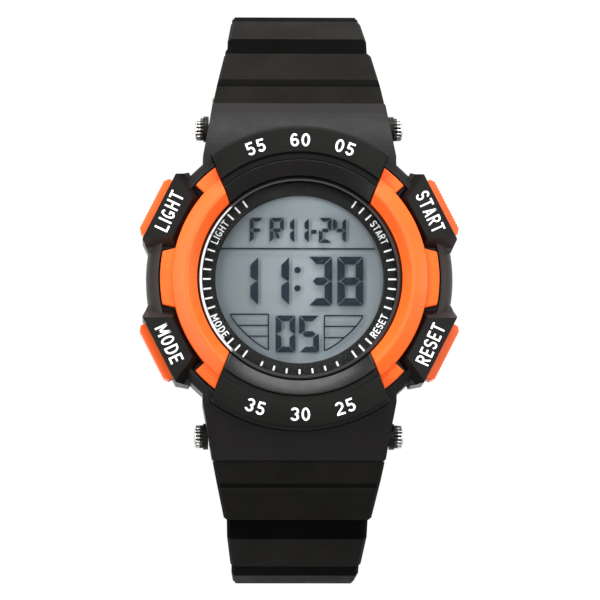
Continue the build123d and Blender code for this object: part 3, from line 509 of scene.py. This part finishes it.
# %% The ring itself
CRESCENT_SECTION = [(13.72, 10.3), (13.72, 11.35), (14.95, 12.55), (15.4, 12.55), (17.07, 11.75), (17.07, 10.3)]
CRESCENT_RADII = [0.0, 0.12, 0.35, 0.5, 0.22, 0.0]
LOW_SECTION = [(14.4, 9.4), (14.4, 10.5), (17.05, 10.5), (17.05, 9.4)]
crescent = arc_band(CRESCENT_SECTION, CRESCENT_RADII, lambda r: -ring_edge(r), ring_edge, steps=140)
low_band = revolved(rounded(LOW_SECTION, 0.08, 3), 240)
ring_piece = make_piece("accent_ring_body", [crescent, placed(crescent, -1, -1), low_band], orange_resin)
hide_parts("accent_ring")

# %% [markdown]
# Six flat tabs stick out of the ring between the guards. On the real watch they carry a fine
# diamond grain that catches the light. Two sets of crossed sine waves, along x + y and x - y,
# give that grain as a bump.

# %% Tabs of the ring
RADIANS_PER_METRE = 13000.0
orange_grain = finish("orange_grain", (0.86, 0.098, 0.008), 0.5, spread=0.06, specular=0.2)
tree = orange_grain.node_tree
parts = wire(tree, "SeparateXYZ", wire(tree, "TexCoord")["Object"])
waves = []
for sign in (1.0, -1.0):
    leant = wire(tree, "Math MULTIPLY", parts["Y"], sign)[0]
    total = wire(tree, "Math ADD", parts["X"], leant)[0]
    scaled = wire(tree, "Math MULTIPLY", total, RADIANS_PER_METRE)[0]
    waves.append(wire(tree, "Math SINE", scaled)[0])
crossed = wire(tree, "Math MULTIPLY", *waves)[0]
knurl = wire(tree, "Bump", Strength=0.35, Distance=0.0001, Height=crossed)[0]
connect(tree.nodes["Principled BSDF"], Normal=knurl)

TAB_SECTION = [(16.6, 9.6), (16.6, 11.39), (18.65, 11.0), (18.65, 9.6)]
TAB_RADII = [0.0, 0.0, 0.22, 0.0]
TAB_SOFT_END = 0.12
END_TAB_ANGLE = np.radians(41.8)


def tab_half(radius):
    """Half the middle tab's angle: its half width falls in a line from 3.95 to 3.55 mm."""
    return np.arcsin((3.95 - 0.4 * (radius - 17.07) / 1.58) / radius)


middle_tab = arc_band(TAB_SECTION, TAB_RADII, lambda r: -tab_half(r), tab_half, TAB_SOFT_END, 30)
end_tab = arc_band(TAB_SECTION, TAB_RADII, lambda r: END_TAB_ANGLE + 0 * r, ring_edge, TAB_SOFT_END, 14)
tabs = [placed(middle_tab, 1, 1), placed(middle_tab, -1, 1)]
tabs += [placed(end_tab, x, y) for x in (1, -1) for y in (1, -1)]
make_piece("accent_ring_tabs", tabs, orange_grain)

# %% [markdown]
# ## Bezel arches
# Two black arches cap the ring at twelve and six. Each has a broad band for its numbers, a
# groove inside the band, and a cone that leads the eye down to the window. Their ends are
# straight in plan, which the same arc function gives by letting the angle depend on the radius.

# %% Arches
ARCH_SECTION = [(20.33, 8.25), (20.33, 12.35), (19.98, 12.75), (16.75, 13.0), (16.6, 12.2), (15.9, 12.2),
                (15.7, 12.45), (13.72, 11.4), (13.72, 10.56), (14.3, 10.55), (17.25, 10.55), (17.25, 8.25)]
ARCH_RADII = [0.0, 0.18, 0.22, 0.14, 0.08, 0.08, 0.16, 0.1, 0.0, 0.0, 0.0, 0.0]
CONE_RADIUS, PEG_X, PEG_Y, PEG_RADIUS = 15.9, 5.78, 17.78, 0.6
arch = arc_band(ARCH_SECTION, ARCH_RADII, edge_angle, lambda r: np.pi - edge_angle(r), 0.14, 150)


def flat_shell(outline, low, high):
    """A closed outline (x, y) raised from one height to another."""
    return tube_shell(np.stack([np.column_stack([outline, np.full(len(outline), z)]) for z in (low, high)]))


def circle(x, y, radius, steps):
    """Points evenly round a centre."""
    return polar(radius, np.linspace(0, 2 * np.pi, steps, endpoint=False)) + (x, y)


pegs = [flat_shell(circle(x, PEG_Y, PEG_RADIUS, 24), 7.45, 8.6) for x in (PEG_X, -PEG_X)]
for name, node, sign in (("arch_at_twelve", "bezel_arch_upper", 1), ("arch_at_six", "bezel_arch_lower", -1)):
    piece = make_piece(name, [placed(shell, sign, sign) for shell in (arch, *pegs)], arch_resin)
    second_finish_or_painted_light(piece, cone_resin, np.hypot(*face_middles(piece)[:, :2].T) < CONE_RADIUS)
    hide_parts(node)

# %% [markdown]
# ## Window
# The window's flat top lets the display through. Its bevel looks black, because the seal lies
# under it, but it is polished and mirrors the lamps. So the piece is a turned profile with two
# finishes on its faces. The bevel leans 22 degrees, half of the lamps' 45.

# %% Window
LENS_PROFILE = np.array([(0.001, 9.2), (13.1, 9.2), (13.6, 9.2), (13.6, 10.88), (13.58, 10.92), (13.08, 11.124),
                         (13.04, 11.135), (0.001, 11.15)])
BEVEL_RADIUS = 13.05
window = make_piece("window", [revolved(LENS_PROFILE, 256)], window_clear, sharp=4)
bevel_bright = finish("bevel_bright", (0.006, 0.006, 0.006), 0.06, rough_spread=0.02, bump=0.0)
connect(bevel_bright.node_tree.nodes["Principled BSDF"], IOR=1.65)
second_finish_or_painted_light(window, bevel_bright, np.hypot(*face_middles(window)[:, :2].T) > BEVEL_RADIUS)
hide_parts("lens")

# %% [markdown]
# ## Display
# A reflective display is a stack: a grey reflector at the back, clear glass above it, and the
# dark digits in the top layer. Because the digits stand half a millimetre above the reflector,
# they cast the faint doubled shadow that such displays show. The reflector's colour carries
# painted light: two ramps in its own coordinates multiply it, brighter towards its top and its
# middle and darker towards its sides, as a real one looks under a lamp beyond twelve o'clock.

# %% Display stack
GLASS_RADIUS, GLASS_FLAT = 12.1, 11.6
BACK, FRONT, GLASS_TOP = 7.3, 7.85, 8.34
glass_outline = np.clip(circle(0, 0, GLASS_RADIUS, 200), -GLASS_FLAT, GLASS_FLAT)
reflector_grey_painted_light = finish("reflector_grey_painted_light", (0.122, 0.14, 0.148), 0.5, spread=0.03, grain=9000, bump=0.0, specular=0.1)
tree = reflector_grey_painted_light.node_tree
shader = tree.nodes["Principled BSDF"]
parts = wire(tree, "SeparateXYZ", wire(tree, "TexCoord")["Object"])
# Painted light: the reflector's colour is brightened towards its top and shaded towards its sides.
painted_top_light = wire(tree, "MapRange", Value=parts["Y"], From_Min=-0.0116, From_Max=0.0116, To_Min=1.02, To_Max=1.5)[0]
from_middle = wire(tree, "Math SUBTRACT", parts["X"], 0.002)[0]
distance = wire(tree, "Math ABSOLUTE", from_middle)[0]
painted_side_shade = wire(tree, "MapRange", Value=distance, From_Min=0.0, From_Max=0.0113, To_Min=1.22, To_Max=0.72)[0]
painted_light_gain = wire(tree, "Math MULTIPLY", painted_top_light, painted_side_shade)[0]
plain = shader.inputs["Base Color"].links[0].from_socket
connect(shader, Base_Color=wire(tree, "VectorMath MULTIPLY", plain, painted_light_gain)[0])
reflector = make_piece("display_reflector", [flat_shell(glass_outline, BACK, FRONT)], reflector_grey_painted_light)
glass_clear = clear_finish("glass_clear", (0.99, 0.995, 0.995), 1.01)
make_piece("display_glass_plate", [flat_shell(glass_outline, FRONT, GLASS_TOP)], glass_clear)
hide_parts("lcd_panel")

# %% [markdown]
# Seven bars make a digit. Their ends are cut at 45 degrees, so that neighbours meet in a thin
# mitre. One function gives every bar from the digit's box and its stroke.

# %% Bars of a digit
INK_LOW, INK_THICK = 8.345, 0.015


def bars(x0, x1, y0, y1, t, g):
    """The seven bars, a to g, of a digit in the box x0..x1, y0..y1, with stroke t and gap g, and a leg r."""
    m, h, s = (y0 + y1) / 2, t / 2, g * 0.5
    q, w, middle = h * 0.5, t + g * 0.7, (x0 + x1) / 2
    return {
        "a": [(x0 + g, y1), (x1 - g, y1), (x1 - t - g, y1 - t), (x0 + t + g, y1 - t)],
        "b": [(x1, y1 - g), (x1, m + s), (x1 - q, m + s), (x1 - t, m + h + g), (x1 - t, y1 - t - g)],
        "c": [(x1, y0 + g), (x1, m - s), (x1 - q, m - s), (x1 - t, m - h - g), (x1 - t, y0 + t + g)],
        "d": [(x0 + g, y0), (x1 - g, y0), (x1 - t - g, y0 + t), (x0 + t + g, y0 + t)],
        "e": [(x0, y0 + g), (x0, m - s), (x0 + q, m - s), (x0 + t, m - h - g), (x0 + t, y0 + t + g)],
        "f": [(x0, y1 - g), (x0, m + s), (x0 + q, m + s), (x0 + t, m + h + g), (x0 + t, y1 - t - g)],
        "g": [(x0 + h + g, m), (x0 + w, m + h), (x1 - w, m + h), (x1 - h - g, m), (x1 - w, m - h), (x0 + w, m - h)],
        "r": [(middle - h, m - h - g), (middle + t * 0.3, m - h - g), (x1 - t * 0.95, y0 + 0.6),
              (x1 - t * 1.75, y0 + 0.6)],
    }


def ink(outline):
    """A flat closed outline as a thin film of ink on the glass."""
    return flat_shell(outline, INK_LOW, INK_LOW + INK_THICK)


def stroke_shell(path, width):
    """A line of even width along a path: each point steps half the width to both sides."""
    path = np.asarray(path, float)
    along = np.gradient(path, axis=0)
    across = np.stack([-along[:, 1], along[:, 0]], 1)
    across *= width / 2 / np.linalg.norm(across, axis=1)[:, None]
    return ink(np.concatenate([path + across, (path - across)[::-1]]))


# %% [markdown]
# The display shows a day and a date, the time and the seconds, in three rows. Each sign is a
# box and the bars that are lit in it. A line runs under the date, and a fan of lines with a bowed
# edge stands on either side of the seconds. The bow is a quarter circle, flattened by raising
# its cosine and sine to a power of 1.6.

# %% Digits
LIT = {"0": "abcdef", "1": "bc", "2": "abged", "3": "abgcd", "4": "fgbc", "5": "afgcd", "8": "abcdefg", "F": "afge",
       "R": "abfger"}
ROWS = ((5.05, 8.44, (("F", -6.51, -4.72, 0.52), ("R", -3.84, -1.95, 0.52), ("1", -1.15, -0.52, 0.58),
                      ("1", 0.78, 1.41, 0.58), ("2", 2.77, 4.45, 0.5), ("4", 4.73, 6.40, 0.5))),
        (-3.39, 3.21, (("1", -6.44, -5.37, 1.05), ("1", -2.29, -1.22, 1.05), ("3", 1.34, 4.55, 1.02),
                       ("8", 5.22, 8.72, 1.02))),
        (-9.67, -4.71, (("0", -3.04, -0.38, 0.78), ("5", 0.11, 2.77, 0.78))))
FANS = ((-3.99, -9.11, -4.55, -9.3, (-6.05, -7.49)), (3.51, 8.67, -4.72, -9.4, (-6.16, -7.67)))
UNDERLINE_WIDTH, FAN_WIDTH, SPOKE_WIDTH, BOW_POWER = 0.22, 0.2, 0.19, 1.6
DIGIT_SHIFT = (-0.15, -0.12, 0)
marks = []
for y0, y1, signs in ROWS:
    for sign, x0, x1, stroke in signs:
        every = bars(x0, x1, y0, y1, stroke, 0.09 if stroke > 0.9 else 0.06)
        marks += [ink(every[key]) for key in LIT[sign]]
marks += [ink(circle(-0.11, y, 0.43, 32)) for y in (1.39, -1.05)]
marks.append(ink([(1.74, 6.27), (2.44, 6.27), (2.44, 6.82), (1.74, 6.82)]))
marks.append(stroke_shell([(-10.45, 4.27), (10.3, 4.27)], UNDERLINE_WIDTH))
for x_tall, x_tip, y_top, y_tip, spokes in FANS:
    corner, tip = np.array([x_tall, y_top]), np.array([x_tip, y_tip])
    edge = corner + (tip - corner) * polar(1, np.linspace(0, np.pi / 2, 24)) ** BOW_POWER
    for path in ([(x_tip, y_top), corner], [corner, (x_tall, y_tip)], edge):
        marks.append(stroke_shell(path, FAN_WIDTH))
    for y in spokes:
        marks.append(stroke_shell([(x_tall, y), (np.interp(-y, -edge[:, 1], edge[:, 0]), y)], SPOKE_WIDTH))
digit_ink = finish("digit_ink", (0.0062, 0.0112, 0.0165), 0.5, spread=0.1, bump=0.0, specular=0.05)
marks = [(points + DIGIT_SHIFT, faces) for points, faces in marks]
make_piece("display_digits", marks, digit_ink)

# %% [markdown]
# ## Prints
# The printed words are drawn with strokes of even width, as moulds and stencils are: straight
# bars, leaning bars and bows, which are parts of an ellipse's ring. Only plain function words
# and numbers are printed.

# %% Strokes that make letters
def bar(x0, y0, x1, y1):
    """An upright rectangle."""
    return np.array([(x0, y0), (x1, y0), (x1, y1), (x0, y1)], float)


def lean(x0, y0, x1, y1, t):
    """A leaning bar with level ends, t wide."""
    return np.array([(x0, y0), (x0 + t, y0), (x1 + t, y1), (x1, y1)], float)


def bow(x, y, rx, ry, start, stop, t):
    """Part of an elliptic ring t wide: an outer arc out and an inner arc back."""
    a = np.radians(np.linspace(start, stop, 4 + int(abs(stop - start) / 12)))
    outer, inner = (polar(1, a) * (rx - inset, ry - inset) + (x, y) for inset in (0, t))
    return np.concatenate([outer, inner[::-1]])


def glyph(letter, t, w):
    """The strokes of one capital, one unit tall and w wide with stroke t, and how far it reaches."""
    half, q, wide = w / 2, (1 + t) / 4, w * 1.25
    left = bar(0, 0, t, 1)

    def loop(y, start, stop):
        """Part of a ring as wide as the letter, round height y, that touches its top or base."""
        return bow(half, y, half, min(y, 1 - y), start, stop, t)

    drawn = {
        "L": [left, bar(t, 0, w * 0.9, t)],
        "I": [left],
        "G": [loop(0.5, 45, 325), bar(half, 0.34, w, 0.34 + t * 0.85), bar(w - t, 0.1, w, 0.34)],
        "H": [left, bar(w - t, 0, w, 1), bar(t, 0.5 - t / 2, w - t, 0.5 + t / 2)],
        "T": [bar(0, 1 - t, w, 1), bar(half - t / 2, 0, half + t / 2, 1 - t)],
        "M": [left, bar(wide - t, 0, wide, 1), lean(wide / 2 - t / 2, 0.2, 0, 1, t),
              lean(wide / 2 - t / 2, 0.2, wide - t, 1, t)],
        "O": [loop(0.5, 0, 360)],
        "D": [left, bar(t, 1 - t, w * 0.42, 1), bar(t, 0, w * 0.42, t),
              bow(w * 0.42, 0.5, w * 0.58, 0.5, -90, 90, t)],
        "E": [left, bar(t, 0, w * 0.88, t), bar(t, 1 - t, w * 0.88, 1),
              bar(t, 0.5 - t * 0.45, w * 0.8, 0.5 + t * 0.45)],
        "S": [loop(1 - q, 15, 270), loop(q, -165, 90)],
        "A": [lean(0, 0, half - t / 2, 1, t), lean(w - t, 0, half - t / 2, 1, t),
              bar(w * 0.22, 0.2, w * 0.78, 0.2 + t * 0.8)],
        "R": [left, bar(t, 1 - t, half, 1), bar(t, 0.43, half, 0.43 + t), loop(0.715, -90, 90),
              lean(w - t, 0, w * 0.38, 0.45, t * 1.05)],
        "0": [loop(0.5, 0, 360)],
        "2": [loop(1 - q, 165, -35), lean(0, t, w - t * 1.15, 0.57, t * 1.2), bar(0, 0, w, t)],
        "3": [loop(1 - q, 160, -90), loop(q, 90, -160)],
        "5": [bar(t * 0.5, 1 - t, w * 0.93, 1), bar(t * 0.4, 0.48, t * 1.3, 1 - t), loop(0.32, 140, -155)],
        "6": [loop(0.31, 0, 360), loop(0.5, 50, 180), bar(0, 0.31, t, 0.5)],
    }
    return drawn[letter], {"I": t, "M": wide, "L": w * 0.9, "E": w * 0.88}.get(letter, w)


# %% [markdown]
# A word is drawn flat and centred on zero, its letters side by side. It is then either turned
# and set down, as on a guard, or bent round the dial, where its length becomes an angle.

# %% Words and where they go
PRINT_THICK = 0.02


def stroke_word(text, cap, length, t=0.14, w=0.58, gap=0.18):
    """Shells for a word, centred on zero, with capitals `cap` mm tall and `length` mm long in all."""
    outlines, pen = [], 0.0
    for letter in text:
        strokes, reach = glyph(letter, t, w)
        outlines += [stroke + (pen, 0) for stroke in strokes]
        pen += reach + gap
    middle, scale = np.array([(pen - gap) / 2, 0.5]), np.array([length / (pen - gap), cap])
    return [flat_shell((outline - middle) * scale, 0, PRINT_THICK) for outline in outlines]


def turned(shell, x, y, z, degrees):
    """Turns a flat shell in plan about zero, then moves it to its place."""
    points, faces = shell
    a = np.radians(degrees)
    plan = points[:, :2] @ np.array([[np.cos(a), np.sin(a)], [-np.sin(a), np.cos(a)]])
    return np.column_stack([plan + (x, y), points[:, 2] + z]), faces


def bent(shell, radius, degrees, z, tops_out=True):
    """Bends a flat shell round the dial: x / radius becomes the angle, and radius +- y the distance."""
    points, faces = shell
    sign = 1 if tops_out else -1
    a = np.radians(degrees) - sign * points[:, 0] / radius
    r = radius + sign * points[:, 1]
    height = z(r) if callable(z) else z
    return np.column_stack([polar(r, a), height + points[:, 2]]), faces


# %% [markdown]
# The dial ring is a flat black washer under the window. White ticks stand six degrees apart
# where no word or arch is in the way, and a row of short ones fills the bottom.

# %% Dial ring
DIAL_SECTION = [(11.27, 8.5), (11.27, 9.05), (13.1, 9.05), (13.1, 8.5)]
PRINT_RADIUS, PRINT_HEIGHT = 12.42, 9.045
dial_piece = make_piece("dial_ring_body", [revolved(rounded(DIAL_SECTION, [0, 0.12, 0.05, 0], 4), 200)], print_black)
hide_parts("dial_ring")

tick = bar(-0.11, -0.53, 0.11, 0.53)
side_ticks = [side + step for side in (0, 180) for step in (-54, -48, -42, -18, -12, -6, 0, 6, 12, 18, 42, 48, 54)]
prints = []
for outline, around in ((tick, side_ticks), (tick * (1, 0.6), range(246, 295, 8))):
    prints += [bent(flat_shell(outline, 0, PRINT_THICK), PRINT_RADIUS, a, PRINT_HEIGHT) for a in around]
for word, angle, tops_out in (("LIGHT", 149.5, True), ("MODE", 210.5, False), ("START", 30.5, True),
                              ("RESET", -30.5, False)):
    prints += [bent(shell, PRINT_RADIUS, angle, PRINT_HEIGHT, tops_out) for shell in stroke_word(word, 1.0, 3.35)]
make_piece("dial_print", prints, print_white)

# %% [markdown]
# The words on the guards name the buttons beside them. The arches carry the minutes, 55 to 05
# at the top and 35 to 25 at the bottom, on the slope of their bands. Every print sinks in by a
# hundredth of a millimetre or less, so that no light gets under it.

# %% Words on the guards and numbers on the arches
GUARD_TOP, GUARD_MIDDLE, SUNK, NUMBER_RADIUS = 11.5, 19.55, 0.01, 18.35
words = []
for word, angle, slope, length in (("LIGHT", 153, 65, 5.5), ("MODE", 207, -65, 5.3), ("START", 27, -65, 5.7),
                                   ("RESET", -27, 65, 5.7)):
    x, y = polar(GUARD_MIDDLE, np.radians(angle))
    words += [turned(shell, x, y, GUARD_TOP - SUNK, slope) for shell in stroke_word(word, 1.85, length)]
make_piece("guard_words", words, print_white)


def band_height(radius):
    """The arch's band falls in a line from 13.0 mm at radius 16.75 to 12.75 at 19.98."""
    return 13.0 - (radius - 16.75) * 0.25 / 3.23 - SUNK


numbers = []
for text, angle, tops_out in (("55", 109, True), ("60", 90, True), ("05", 71, True),
                              ("35", 251, False), ("30", 270, False), ("25", 289, False)):
    numbers += [bent(shell, NUMBER_RADIUS, angle, band_height, tops_out)
                for shell in stroke_word(text, 1.75, 2.6, t=0.15)]
make_piece("arch_numbers", numbers, print_white)

# %% [markdown]
# ## Moulded pieces
# The case, the strap and the buckle already have their true shape in CAD, but their edges are
# sharp. A copy of each is joined up from its loose triangles, flat areas are made one face
# again, and a Bevel modifier then rounds every edge that turns more than 13 degrees, which is
# more than the 9 degrees between two facets of a round wall.

# %% Soft edges
SHARP_TURN, FLAT_TURN, SAME_POINT = np.radians(13), np.radians(0.6), 2e-6


def softened(name, node, material, body, width):
    """A copy of a CAD piece with its sharp edges rounded to about `width` mm."""
    mesh = nodes[node].data.copy()
    mesh.name = name
    joined = bmesh.new()
    joined.from_mesh(mesh)
    bmesh.ops.remove_doubles(joined, verts=joined.verts, dist=SAME_POINT)
    bmesh.ops.dissolve_degenerate(joined, edges=joined.edges, dist=SAME_POINT)
    bmesh.ops.dissolve_limit(joined, angle_limit=FLAT_TURN, verts=joined.verts, edges=joined.edges)
    open_edges = sum(1 for edge in joined.edges if len(edge.link_faces) != 2)
    joined.to_mesh(mesh)
    joined.free()
    mesh.materials.clear()
    mesh.materials.append(material)
    mesh.shade_smooth()
    mesh.set_sharp_from_angle(angle=SHARP_TURN)
    piece = linked(name, mesh)
    soft = piece.modifiers.new("soft_edges", "BEVEL")
    soft.width, soft.segments = width * MM, 2
    soft.limit_method, soft.angle_limit = "ANGLE", SHARP_TURN
    soft.use_clamp_overlap, soft.harden_normals = True, True
    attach(piece, body)
    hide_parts(node)
    print(name, "has", len(mesh.polygons), "faces and", open_edges, "open edges")
    return piece


hood = softened("case_shell", "case_body", black_resin, "case", 0.22)
halves = [softened("strap_top_half", "strap_upper", strap_rubber, "strap_upper", 0.3),
          softened("strap_tail_half", "strap_lower", strap_rubber, "strap_lower", 0.3)]
softened("keeper_loop", "strap_keeper", strap_rubber, "keeper", 0.2)
for button in BUTTONS:
    softened(f"{button}_pusher", f"{button}_cap", orange_resin, f"{button}_button", 0.12)
softened("buckle_loop", "buckle_frame", satin_steel, "buckle", 0.15)
softened("buckle_prong", "buckle_tongue", satin_steel, "tongue", 0.12)

# %% [markdown]
# Some forms are finer in the photograph than in CAD. The hood's corners are almost square, so
# their chamfer shrinks from 0.7 mm to 0.2 mm. The strap's first plate flares out to the hood
# and leans over the gap between them. Points are found by where they lie in CAD, with x and y
# unsigned, because case and strap are symmetrical.

# %% Hood corners and lips
HOOD_FRONT, HOOD_CREST, HOOD_SLOPE, HOOD_FOOT = 24.1, 5.9, 0.857, 2.3
CAD_CORNER, CAD_CHAMFER, CORNER, CHAMFER = 11.05, 0.7, 11.48, 0.2
LIP, LIP_CORNER, LIP_SIDE, WALL_SIDE = (24.13, 5.3), 11.2, (11.56, 24.28, 4.7), 11.5


def points_of(piece):
    """All points of a piece in mm, one row each."""
    points = np.empty(len(piece.data.vertices) * 3)
    piece.data.vertices.foreach_get("co", points)
    return points.reshape(-1, 3) / MM


def move_points(piece, points):
    """Puts a piece's points where the rows of an array in mm say."""
    piece.data.vertices.foreach_set("co", (points * MM).ravel())
    piece.data.update()


def reshape(piece, move):
    """Moves a piece's points: `move` changes an array of x, y, z in mm, with x and y unsigned."""
    points = points_of(piece)
    signs = np.where(points < 0, -1.0, 1.0)
    signs[:, 2] = 1
    changed = points * signs
    move(changed)
    move_points(piece, changed * signs)


def square_corners(p):
    """Slides the chamfer's points out: a share of the old chamfer is that share of the new one."""
    at = (p[:, 1] > 23.35) & (p[:, 0] > 11.0)
    share = (p[at, 0] - CAD_CORNER) / CAD_CHAMFER
    back = CHAMFER * share
    p[at, 2] = np.where(p[at, 2] > 4, HOOD_CREST + HOOD_SLOPE * back, HOOD_FOOT - back)
    p[at, 0], p[at, 1] = CORNER + back, HOOD_FRONT - back
    print("hood corner points:", int(at.sum()))


def lean_over(p):
    """Lifts the plate's end edge to the lip and spreads its corners to the hood's width."""
    side_top = (p[:, 0] > 11.0) & (np.abs(p[:, 1] - 24.55) < 0.06) & (p[:, 2] > 4.4) & (p[:, 2] < 4.8)
    crest = (np.abs(p[:, 1] - 24.64) < 0.04) & (p[:, 2] > 4.9)
    wall = (p[:, 0] > 11.0) & (np.abs(p[:, 1] - 24.35) < 0.04) & (p[:, 2] > 3.4)
    p[crest & (p[:, 0] > 10.7), 0] = LIP_CORNER
    p[crest, 1:] = LIP
    p[side_top] = LIP_SIDE
    p[wall, 0] = WALL_SIDE
    print("lip points:", int(crest.sum()), int(side_top.sum()), int(wall.sum()))


reshape(hood, square_corners)
for half in halves:
    reshape(half, lean_over)

# %% [markdown]
# The case carries two more colours. The bumpers between the guards get a painted warm glow, as
# from the orange beside them, and the guards' flat tops are a shade darker than the hoods.

# %% Bumpers and guard tops
centres = np.abs(face_middles(hood))
facing_up = np.array([face.normal.z for face in hood.data.polygons]) > 0.3
# Painted light: a warm glow on the bumpers.
second_finish_or_painted_light(hood, bumper_painted_glow, facing_up & (centres[:, 0] > 18.2) & (centres[:, 1] < 5.5))
second_finish_or_painted_light(hood, guard_resin, facing_up & (centres[:, 2] > 11.3))

# %% [markdown]
# A fine crease runs across each first plate. Planes at a few values of y cut the mesh, which
# gives it new lines of points, and one of them is pushed down. On the upper half the
# plate's own bend lies close behind the crease and sinks a little with it. CREASES holds, for
# each half, the cuts, the line that sinks, the bend, and between which y the crease gets painted shade.

# %% Creases
CREASES = (((26.45, 26.65, 27.7), 26.65, 27.08, (26.65, 27.7)), ((27.6, 27.9), 27.6, None, (27.05, 27.6)))
CREASE_DEPTH, BEND_DEPTH, PLATE_FLOOR = 0.35, 0.2, 2.2


def press_crease(p, valley, bend):
    """Pushes the line of points at y = valley down, and the line at y = bend less far."""
    line = (np.abs(p[:, 1] - valley) < 0.01) & (p[:, 2] > PLATE_FLOOR)
    p[line, 2] -= CREASE_DEPTH
    if bend:
        p[(np.abs(p[:, 1] - bend) < 0.03) & (p[:, 2] > 3.6), 2] -= BEND_DEPTH
    print("crease points:", int(line.sum()))


for half, side, (cuts, valley, bend, shaded) in zip(halves, (1, -1), CREASES):
    cut = bmesh.new()
    cut.from_mesh(half.data)
    for y in cuts:
        bmesh.ops.bisect_plane(cut, geom=cut.verts[:] + cut.edges[:] + cut.faces[:],
                               plane_co=(0, side * y * MM, 0), plane_no=(0, 1, 0))
    cut.to_mesh(half.data)
    cut.free()
    reshape(half, lambda p: press_crease(p, valley, bend))
    half.data.set_sharp_from_angle(angle=SHARP_TURN)

# %% [markdown]
# Each plate of the strap's armour starts with a short facet that dips under the plate before
# it. These facets are nearly black because they are turned from the light, and that shade is painted into their
# colour.
# They are found by their angle round the strap's own circle, which is how the CAD source sets
# them out, and their first edge is set half a millimetre deeper.

# %% Dark first facets
STRAP_CENTRE = np.array([3.65, -23.605])
PLATE_STARTS, FACET_TURN, FACET_FLOOR, EDGE_DROP = (51.4, 71.0), 6.8, 34.2, 0.5


def round_strap(points, side):
    """Angle from the top, radius and offset of points round the strap's circle, on either half."""
    reach = np.stack([side * points[:, 1], points[:, 2]], 1) - STRAP_CENTRE
    return np.degrees(np.arctan2(reach[:, 0], reach[:, 1])), np.hypot(*reach.T), reach


for half, side, (cuts, valley, bend, shaded) in zip(halves, (1, -1), CREASES):
    points = points_of(half)
    angle, radius, reach = round_strap(points, side)
    for start in PLATE_STARTS:
        edge = (np.abs(angle - start) < 0.4) & (radius > 34.6) & (radius < 35.4)
        inward = reach[edge] / radius[edge, None] * -EDGE_DROP
        points[edge, 1] += side * inward[:, 0]
        points[edge, 2] += inward[:, 1]
        print(half.name, "edge points set deeper:", int(edge.sum()))
    move_points(half, points)
    centres = face_middles(half)
    angle, radius, reach = round_strap(centres, side)
    # The first facets get painted shade.
    first = [(angle > start + 0.1) & (angle < start + FACET_TURN) & (radius > FACET_FLOOR) for start in PLATE_STARTS]
    second_finish_or_painted_light(half, strap_painted_shade, np.any(first, axis=0))
    # Painted shade in the crease band.
    across = side * centres[:, 1]
    second_finish_or_painted_light(half, strap_crease_painted_shade, (across > shaded[0]) & (across < shaded[1]) & (centres[:, 2] > PLATE_FLOOR))

# %% [markdown]
# The real strap is one flexible moulding whose end sits in the hood. When the strap swings, its
# rubber bends just outside the hood. Here each half is taken off its body, and its place is
# baked into its points.

# %% Strap halves off their bodies
for half, side, body in zip(halves, (1, -1), ("strap_upper", "strap_lower")):
    half.parent = None
    del half["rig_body"]
    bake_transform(half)
    print(half.name, "bends between the case and", body)

# %% [markdown]
# The spring pins end in knobs with eighteen grooves. The radius follows a raised cosine,
# squared, so that the ridges stay broad and the grooves narrow. The grooves fade out before the
# domed end. The grooves' dark colour is painted shade, the inner third is dark as well, and the
# rest is bright plating. STATIONS holds, from the case outwards, the place, how far the radius
# shrinks and the grooves' share.

# %% Pin knobs
PIN_Y, PIN_Z, KNOB_RADIUS, GROOVES, GROOVE_DEPTH, STEPS = 20.8, 3.6, 1.55, 18, 0.2, 180
STATIONS = [(12.85, 0.06, 1), (12.9, 0.0, 1), (13.3, 0.0, 1), (13.32, 0.0, 1), (13.68, 0.0, 1), (13.78, 0.01, 0.4),
            (13.86, 0.04, 0), (13.98, 0.1, 0), (14.06, 0.2, 0), (14.1, 0.34, 0)]
DARK_ROOT, DARK_END, DARK_RADIUS = 13.31, 13.8, 1.47
steel_painted_shade = finish("steel_painted_shade", (0.05, 0.048, 0.044), 0.35, metallic=1.0)
turn = np.linspace(0, 2 * np.pi, STEPS, endpoint=False)
groove = (0.5 - 0.5 * np.cos(GROOVES * turn)) ** 2 * GROOVE_DEPTH
rings = [(x, KNOB_RADIUS - groove * depth - shrink) for x, shrink, depth in STATIONS]
rings += [(14.1, np.full(STEPS, 1.0)), (14.02, np.full(STEPS, 0.9))]
knobs = []
for side in (1, -1):
    for middle in (PIN_Y, -PIN_Y):
        rows = [np.column_stack([np.full(STEPS, side * x), polar(r, turn) + (middle, PIN_Z)]) for x, r in rings]
        knobs.append(tube_shell(np.stack(rows)))
knob_piece = make_piece("pin_knob_set", knobs, polished_steel)
centres = np.abs(face_middles(knob_piece))
from_axis = np.hypot(centres[:, 1] - PIN_Y, centres[:, 2] - PIN_Z)
# Painted shade in the grooves.
in_groove_painted_shade = (from_axis < DARK_RADIUS) & (centres[:, 0] < DARK_END)
second_finish_or_painted_light(knob_piece, steel_painted_shade, (centres[:, 0] < DARK_ROOT) | in_groove_painted_shade)
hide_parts("pin_knobs")
